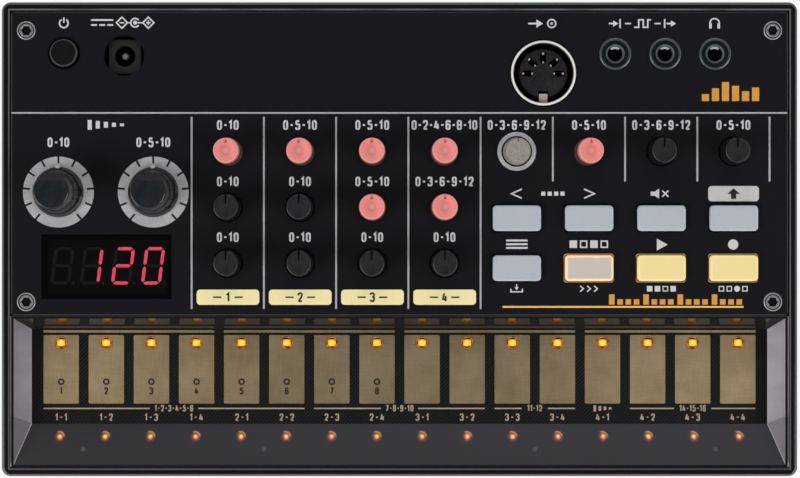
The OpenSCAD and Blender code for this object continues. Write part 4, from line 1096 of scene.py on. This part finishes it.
# Strokes of a numeral as (points, corner radius, closed), in a box 1 wide and 2 high
DIGITS = {
    "0": [([(0, 0), (1, 0), (1, 2), (0, 2)], 0.5, True)],
    "1": [([(0.05, 1.55), (0.62, 2), (0.62, 0)], 0, False)],
    "2": [([(0, 1.45), (0, 2), (1, 2), (1, 1.15), (0, 0.02), (1, 0)], 0.35, False)],
    "3": [([(0, 1.6), (0, 2), (1, 2), (1, 1.05), (0.35, 1.05)], 0.4, False),
          ([(0.35, 1.05), (1, 1.05), (1, 0), (0, 0), (0, 0.42)], 0.4, False)],
    "4": [([(0.78, 0), (0.78, 1.3)], 0, False), ([(0.38, 2), (-0.05, 0.5), (1.15, 0.5)], 0, False)],
    "5": [([(0.95, 2), (0.06, 2), (0.06, 1.18), (1, 1.18), (1, 0), (0, 0), (0, 0.42)], 0.28, False)],
    "6": [([(1, 1.6), (1, 2), (0, 2), (0, 0), (1, 0), (1, 1.15), (0.3, 1.15)], 0.42, False)],
    "7": [([(0, 2), (1, 2), (0.35, 0)], 0, False)],
    "8": [([(0, 1.03), (1, 1.03), (1, 2), (0, 2)], 0.3, True),
          ([(0, 0), (1, 0), (1, 1.03), (0, 1.03)], 0.3, True)],
    "9": [([(0, 0.4), (0, 0), (1, 0), (1, 2), (0, 2), (0, 0.88), (0.7, 0.88)], 0.42, False)],
    "-": [([(-0.05, 1), (0.65, 1)], 0, False)],
}

LABEL_H = 2.35
LABEL_OVER_KNOB = {ROWS[0]: 27.7, ROWS[1]: 14, ROWS[2]: 0.5}
LABEL_STRIP_Y = -14.06
MARKS_Y = 52.3           # marks over the sockets
OVER_UPPER, OVER_LOWER, UNDER_LOWER = 11.05, -1.2, -12    # rows of marks round the keys
RULE_Y, STEPS_Y = -16.4, -15.85    # rule of the step pattern, and the foot of its steps
OVERPRINT = PANEL_TOP + 0.045
NARROW, MEDIUM, WIDE, WIDEST = "0-10", "0-5-10", "0-3-6-9-12", "0-2-4-6-8-10"
RANGES = [NARROW, MEDIUM, MEDIUM, WIDEST, NARROW, NARROW, MEDIUM, WIDE,
          NARROW, NARROW, NARROW, NARROW, WIDE, MEDIUM, WIDE, MEDIUM]

lines = Ink()
lines.rect(-94.1, 30.44, 94, 30.82)
for k in range(9):
    x = -50.4 + COLUMN_PITCH * k
    lines.rect(x - 0.22, -16.9 if k <= 4 else 14, x + 0.22, 29.7)
lines.build("panel_lines", "ink_line")

light = Ink()
for n, text in enumerate(RANGES):
    x, y = knob_place(n)
    light.number(text, x, LABEL_OVER_KNOB[y], LABEL_H, gap=0.3 if text == WIDEST else None)
for text, (x, y) in zip((NARROW, MEDIUM), DIALS.values()):
    light.number(text, x, 23.5, LABEL_H)
# Fading echoes over the large knobs
light.bars(-71.2, 27.75, 1.95, 1, (2.35, 1.85, 1.4, 1, 0.65))
# Power, supply and polarity
x, y = -81.4, 52.4
light.arc(x, y - 0.05, 1.05, 122, 418, 0.36)
light.rect(x - 0.18, y + 0.1, x + 0.18, y + 1.35)
light.rect(-74.8, 52.95, -69.4, 53.35)
light.bars(-72.1, 51.95, 1.98, 1.44, (0.4,) * 3)
for x, sign in ((-67.3, light.minus), (-60.9, light.plus)):
    light.path([(x - 1.35, 52.5), (x, 51.15), (x + 1.35, 52.5), (x, 53.85)], 0.34, True)
    sign(x, 52.5, 1.1, 0.3)
light.arc(-64.1, 52.5, 1.05, 35, 325, 0.34)
light.disc(-64.1, 52.5, 0.5)
light.rect(-65.9, 52.35, -65.2, 52.65)
light.rect(-63.55, 52.35, -62.3, 52.65)
# Five-pole socket: signal in
light.arrow(33, MARKS_Y, 3.6, 1.6, 0.4)
light.ring(36.9, MARKS_Y, 1.15, 0.8, 40)
light.disc(36.9, MARKS_Y, 0.32)
# Clock in and out
light.arrow(51.9, MARKS_Y, 2.3, 1.25, 0.4)
light.rect(53.3, 51.2, 53.66, 53.4)
light.minus(55.4, MARKS_Y, 1.5, 0.34)
low, high = 51.4, 53.2
light.path([(56.9, low), (58, low), (58, high), (59.1, high), (59.1, low), (60.2, low), (60.2, high),
            (61, high)], 0.36)
light.minus(62.6, MARKS_Y, 1.5, 0.34)
light.rect(64.1, 51.2, 64.46, 53.4)
light.arrow(65.9, MARKS_Y, 2.3, 1.25, 0.4)
# Headphones
light.arc(76.4, 52.35, 1.15, -15, 195, 0.34)
light.rect(75.08, 51.1, 75.72, 52.35)
light.rect(77.08, 51.1, 77.72, 52.35)
# Over the upper keys: back, part, on, silence
for side, x in ((-1.25, 28.4), (1.25, 46)):
    light.path([(x - side, OVER_UPPER + 1.1), (x + side, OVER_UPPER), (x - side, OVER_UPPER - 1.1)], 0.36)
light.bars(37.2, OVER_UPPER, 1.55, 1, (1,) * 4)
x, y = 62.6, OVER_UPPER
cone = [(-1.7, -0.5), (-0.8, -0.5), (0.35, -1.2), (0.35, 1.2), (-0.8, 0.5), (-1.7, 0.5)]
light.plate(shifted(cone, x, y))
for rise in (0.75, -0.75):
    light.path([(x + 1.1, y - rise), (x + 2.6, y + rise)], 0.36)
# Over the lower keys: list, steps, play, record
for rise in (-0.9, 0, 0.9):
    light.minus(28.45, OVER_LOWER + rise, 5.2, 0.48)
for x, size, line in ((42.15, 0.92, 0), (44.65, 0.75, 0.34), (47.15, 0.92, 0), (49.65, 0.75, 0.34)):
    light.box(x, OVER_LOWER, size, line)
light.plate([(62.4, -2.75), (65, -1.3), (62.4, 0.15)])
light.disc(80.9, -1.27, 1.26)
# Under the lower keys: store, jump, chosen steps, recorded step
x, y = 28.4, UNDER_LOWER
light.arrow(x, y + 0.35, 1.5, 0.8, 0.3, -90)
light.path([(x - 1.4, y), (x - 1.4, y - 0.75), (x + 1.4, y - 0.75), (x + 1.4, y)], 0.3)
for x in (44.2, 45.9, 47.6):
    light.path([(x - 0.4, y + 0.7), (x + 0.4, y), (x - 0.4, y - 0.7)], 0.3)
full, opened = (0.67,), (0.55, 0.24)
for x, size in ((60.65, full), (62.55, full), (64.45, opened), (66.35, full), (78.05, opened),
                (79.95, opened)):
    light.box(x, y, *size)
light.disc(81.85, y, 0.72)
light.box(83.75, y, *opened)
light.build("panel_marks", "ink_light")

# Black rings round the sockets' rims: a painted shadow of the gap round each rim
gap_shade = Ink(high=32.72)
for x in JACKS.values():
    gap_shade.ring(x, JACK_Y, 4.16, 3.8, 96)
gap_shade.build("socket_gap_shade", "ink_black")

# Silver scale rings with their ticks
silver, ticks = Ink(), Ink(high=OVERPRINT)
for x, y in DIALS.values():
    silver.ring(x, y, 8.6, 6.1, 128)
    for k in range(-5, 6):
        (x0, y0), (x1, y1) = polar(6.95, 90 - 28 * k), polar(8.66, 90 - 28 * k)
        ticks.path([(x + x0, y + y0), (x + x1, y + y1)], 0.48)
silver.ring(*knob_place(GREY_KNOB), 4.7, 3.72, 96)
silver.build("scale_rings", "ink_silver")
ticks.build("scale_ticks", "ink_black")

# Numbered labels of the voices, and the arrow of the shift key on its own label
cream, dark, pill = Ink(), Ink(high=OVERPRINT), Ink()
for k in range(4):
    x = COLUMNS[k] + 0.05
    cream.pill(x, LABEL_STRIP_Y, 15.2, 3.7, 0.9)
    dark.number(str(k + 1), x, LABEL_STRIP_Y, LABEL_H)
    for side in (-2.6, 2.6):
        dark.minus(x + side, LABEL_STRIP_Y, 2, 0.36)
cream.build("voice_labels", "ink_cream")
x, y = 81, OVER_UPPER
pill.pill(x, y, 12.3, 3.7, 0.85)
pill.build("shift_label", "ink_pale")
dark.plate(shifted([(-0.62, -1.25), (0.62, -1.25), (0.62, -0.05), (1.55, -0.05), (0, 1.3), (-1.55, -0.05),
                    (-0.62, -0.05)], x, y))
dark.build("label_numbers", "ink_dark")

# Bars of a level meter, and a row of sixteen steps over a rule
orange, rule = Ink(), Ink()
orange.bars(80.25, 33.5, 2.43, 1.75, (1.7, 3.1, 4.6, 3.7, 2.4, 3.3), foot=True)
for k in range(16):
    x = 50.8 + k * 2 + (k // 4) * 0.3
    orange.rect(x, STEPS_Y, x + 1.35, STEPS_Y + (2.5 if k % 4 == 0 else 1.3))
orange.build("step_pattern", "ink_orange")
rule.rect(25, RULE_Y - 0.22, 83.4, RULE_Y + 0.22)
rule.build("step_rule", "ink_amber")


# ---- Display ----

def digit_segments(x, y):
    """The seven segments of a digit as polygons, named a to g."""
    lean = tan(radians(7))
    a, b, s, gap = 2.03, 4.17, 0.38, 0.2     # half width, half height, half stroke, gap between segments

    def leaning(points):
        return [(x + px + lean * py, y + py) for px, py in points]

    def across(v):
        return leaning([(-a + gap, v), (-a + s + gap, v + s), (a - s - gap, v + s),
                        (a - gap, v), (a - s - gap, v - s), (-a + s + gap, v - s)])

    def upright(u, v0, v1):
        return leaning([(u, v0 + gap), (u + s, v0 + s + gap), (u + s, v1 - s - gap),
                        (u, v1 - gap), (u - s, v1 - s - gap), (u - s, v0 + s + gap)])

    return {"a": across(b), "g": across(0), "d": across(-b), "b": upright(a, 0, b), "c": upright(a, -b, 0),
            "f": upright(-a, 0, b), "e": upright(-a, -b, 0)}


SEGMENTS = (30.7, 30.85)
lit, unlit = Ink(*SEGMENTS), Ink(*SEGMENTS)
for dx, on in ((-10.9, ""), (-3.77, "bc"), (3.85, "abged"), (11.16, "abcdef")):
    x = WINDOW[0] + dx
    for letter, points in digit_segments(x, WINDOW[1] + 0.2).items():
        (lit if letter in on else unlit).plate(points)
    unlit.disc(x + 2.7, WINDOW[1] - 4, 0.42)
lit.build("segments_lit", "segment_red", "segment_red", "display_segments")
unlit.build("segments_unlit", "segment_off", "segment_red")

# ---- Touch strip ----
lens = block(*[(w, w * 0.84, w * 0.2, z)
               for w, z in ((2, STRIP_TOP), (2, 25.92), (1.8, 26.04), (1.1, 26.09))])
lenses = joined(*[moved(lens, x, y) for y in (PAD_LAMP_Y, SLOPE_LAMP_Y) for x in PAD_X])
place(new_piece("touch_lenses", lenses, "lamp_amber", 50), replaces="touch_lamps")
rings = Ink(STRIP_TOP - 0.01, STRIP_TOP + 0.1)
tan = Ink(STRIP_TOP - 0.01, STRIP_TOP + 0.03)
brown = Ink(PAD_TOP - 0.01, PAD_TOP + 0.02)
for n, x in enumerate(PAD_X):
    rings.ring(x, PAD_LAMP_Y, 1.52, 1.22, 40)
    tan.number(f"{n // 4 + 1}-{n % 4 + 1}", x, -43.65, 1.8, gap=0.5)
    if n < 8:
        brown.number(str(n + 1), x, -37.2, 1.75, stroke=0.36)
        brown.ring(x, -34.95, 0.82, 0.42, 28)
LINE_Y = -41.5
for first, last in ((0, 5), (6, 9), (10, 11), (13, 15)):
    x0, x1 = PAD_X[first] - PAD_W / 2, PAD_X[last] + PAD_W / 2
    middle = (x0 + x1) / 2
    text = "-".join(str(k + 1) for k in range(first, last + 1))
    gap = 0.46 * len(text) + 0.9
    tan.rect(x0, LINE_Y - 0.16, middle - gap, LINE_Y + 0.16)
    tan.rect(middle + gap, LINE_Y - 0.16, x1, LINE_Y + 0.16)
    tan.number(text, middle, LINE_Y + 0.05, 1.6, width=0.75, gap=0.24)
tan.bars(PAD_X[12], LINE_Y, 1.25, 0.66, (1.5, 1.15, 0.85, 0.55))
rings.build("lamp_rings", "lamp_ring")
tan.build("strip_marks", "ink_tan")
brown.build("pad_marks", "ink_brown")

# ---- Moulded edges are never razor sharp: a small bevel on the CAD pieces that show catches the light ----
for node, width in {
    "upper_case": 0.16, "lower_case": 0.2, "touch_bezel": 0.14, "faceplate": 0.2,
    "power_button": 0.32, "sync_in_jack": 0.25, "sync_out_jack": 0.25, "headphone_jack": 0.25,
    "midi_shell": 0.14, "battery_door": 0.18, "touch_pads": 0.03, "feet": 0.15,
}.items():
    weld = NODES[node].modifiers.new("weld", "WELD")
    weld.merge_threshold = 1e-6
    bevel = NODES[node].modifiers.new("edges", "BEVEL")
    bevel.width = width * MM
    bevel.segments = 2
    bevel.limit_method = "ANGLE"
    bevel.angle_limit = radians(35)
    bevel.use_clamp_overlap = True
    bevel.harden_normals = False


# ---- Studio, in metres ----

def sky():
    """Bright low sky, darker overhead and behind; plain white where the camera sees it."""
    world = bpy.data.worlds.new("studio")
    scene.world = world
    world.use_nodes = True
    t = Tree(world.node_tree)
    _, y, z = t.parts(t.out("TexCoord", output="Generated"))
    color = t.ramp(z, (0, grey(1)), (0.35, grey(0.9)), (0.6, grey(0.45)), (0.8, grey(0.15)),
                   (0.95, grey(0.05)))
    dome = t.out("Background", {0: color, 1: t.math("MULTIPLY_ADD", y, -0.4, 0.95)})
    white = t.out("Background", {0: WHITE, 1: 1})
    t.surface(t.out("MixShader", {0: t.out("LightPath", output="Is Camera Ray"), 1: dome, 2: white}))


def floor():
    """White ground that keeps the shadow; it lies just under the feet."""
    f = Finish("floor", (244, 244, 245), 0.8)
    rays = [f.out("LightPath", output=f"Is {kind} Ray") for kind in ("Camera", "Glossy", "Transmission")]
    seen = f.math("MAXIMUM", rays[0], f.math("MAXIMUM", rays[1], rays[2]))
    glow = f.out("Emission", {0: WHITE, 1: 1})
    f.surface(f.out("MixShader", {0: seen * 0.85, 1: Value(f, f.bsdf.outputs[0]), 2: glow}))
    corners = [(x * 4000, y * 4000, -0.02) for x, y in ((-1, -1), (1, -1), (1, 1), (-1, 1))]
    new_piece("floor", (corners, [(0, 1, 2, 3)]), "floor")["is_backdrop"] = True


def lamp(name, at, size, watts):
    """Soft box that faces the machine."""
    light = bpy.data.lights.new(name, "AREA")
    light.shape = "RECTANGLE"
    light.size, light.size_y = size
    light.energy = watts
    o = shown(name, light)
    o.location = at
    o.rotation_mode = "QUATERNION"
    o.rotation_quaternion = (-Vector(at)).to_track_quat("-Z", "Y")


camera = bpy.data.cameras.new("camera")
camera.sensor_width = 36
camera.lens = 109.5
scene.view_settings.view_transform = "Standard"
scene.camera = shown("camera", camera)
scene.camera.location = (0.00012, 0.00006, PANEL_TOP * MM + 0.59)
sky()
lamp("soft_left", (-0.88, -0.48, 0.95), (0.7, 0.5), 6.9)
lamp("soft_right", (0.88, -0.48, 0.95), (0.7, 0.5), 5.8)
lamp("soft_rear", (0.1, 1.1, 1), (1.2, 0.8), 3.8)
floor()

low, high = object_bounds()
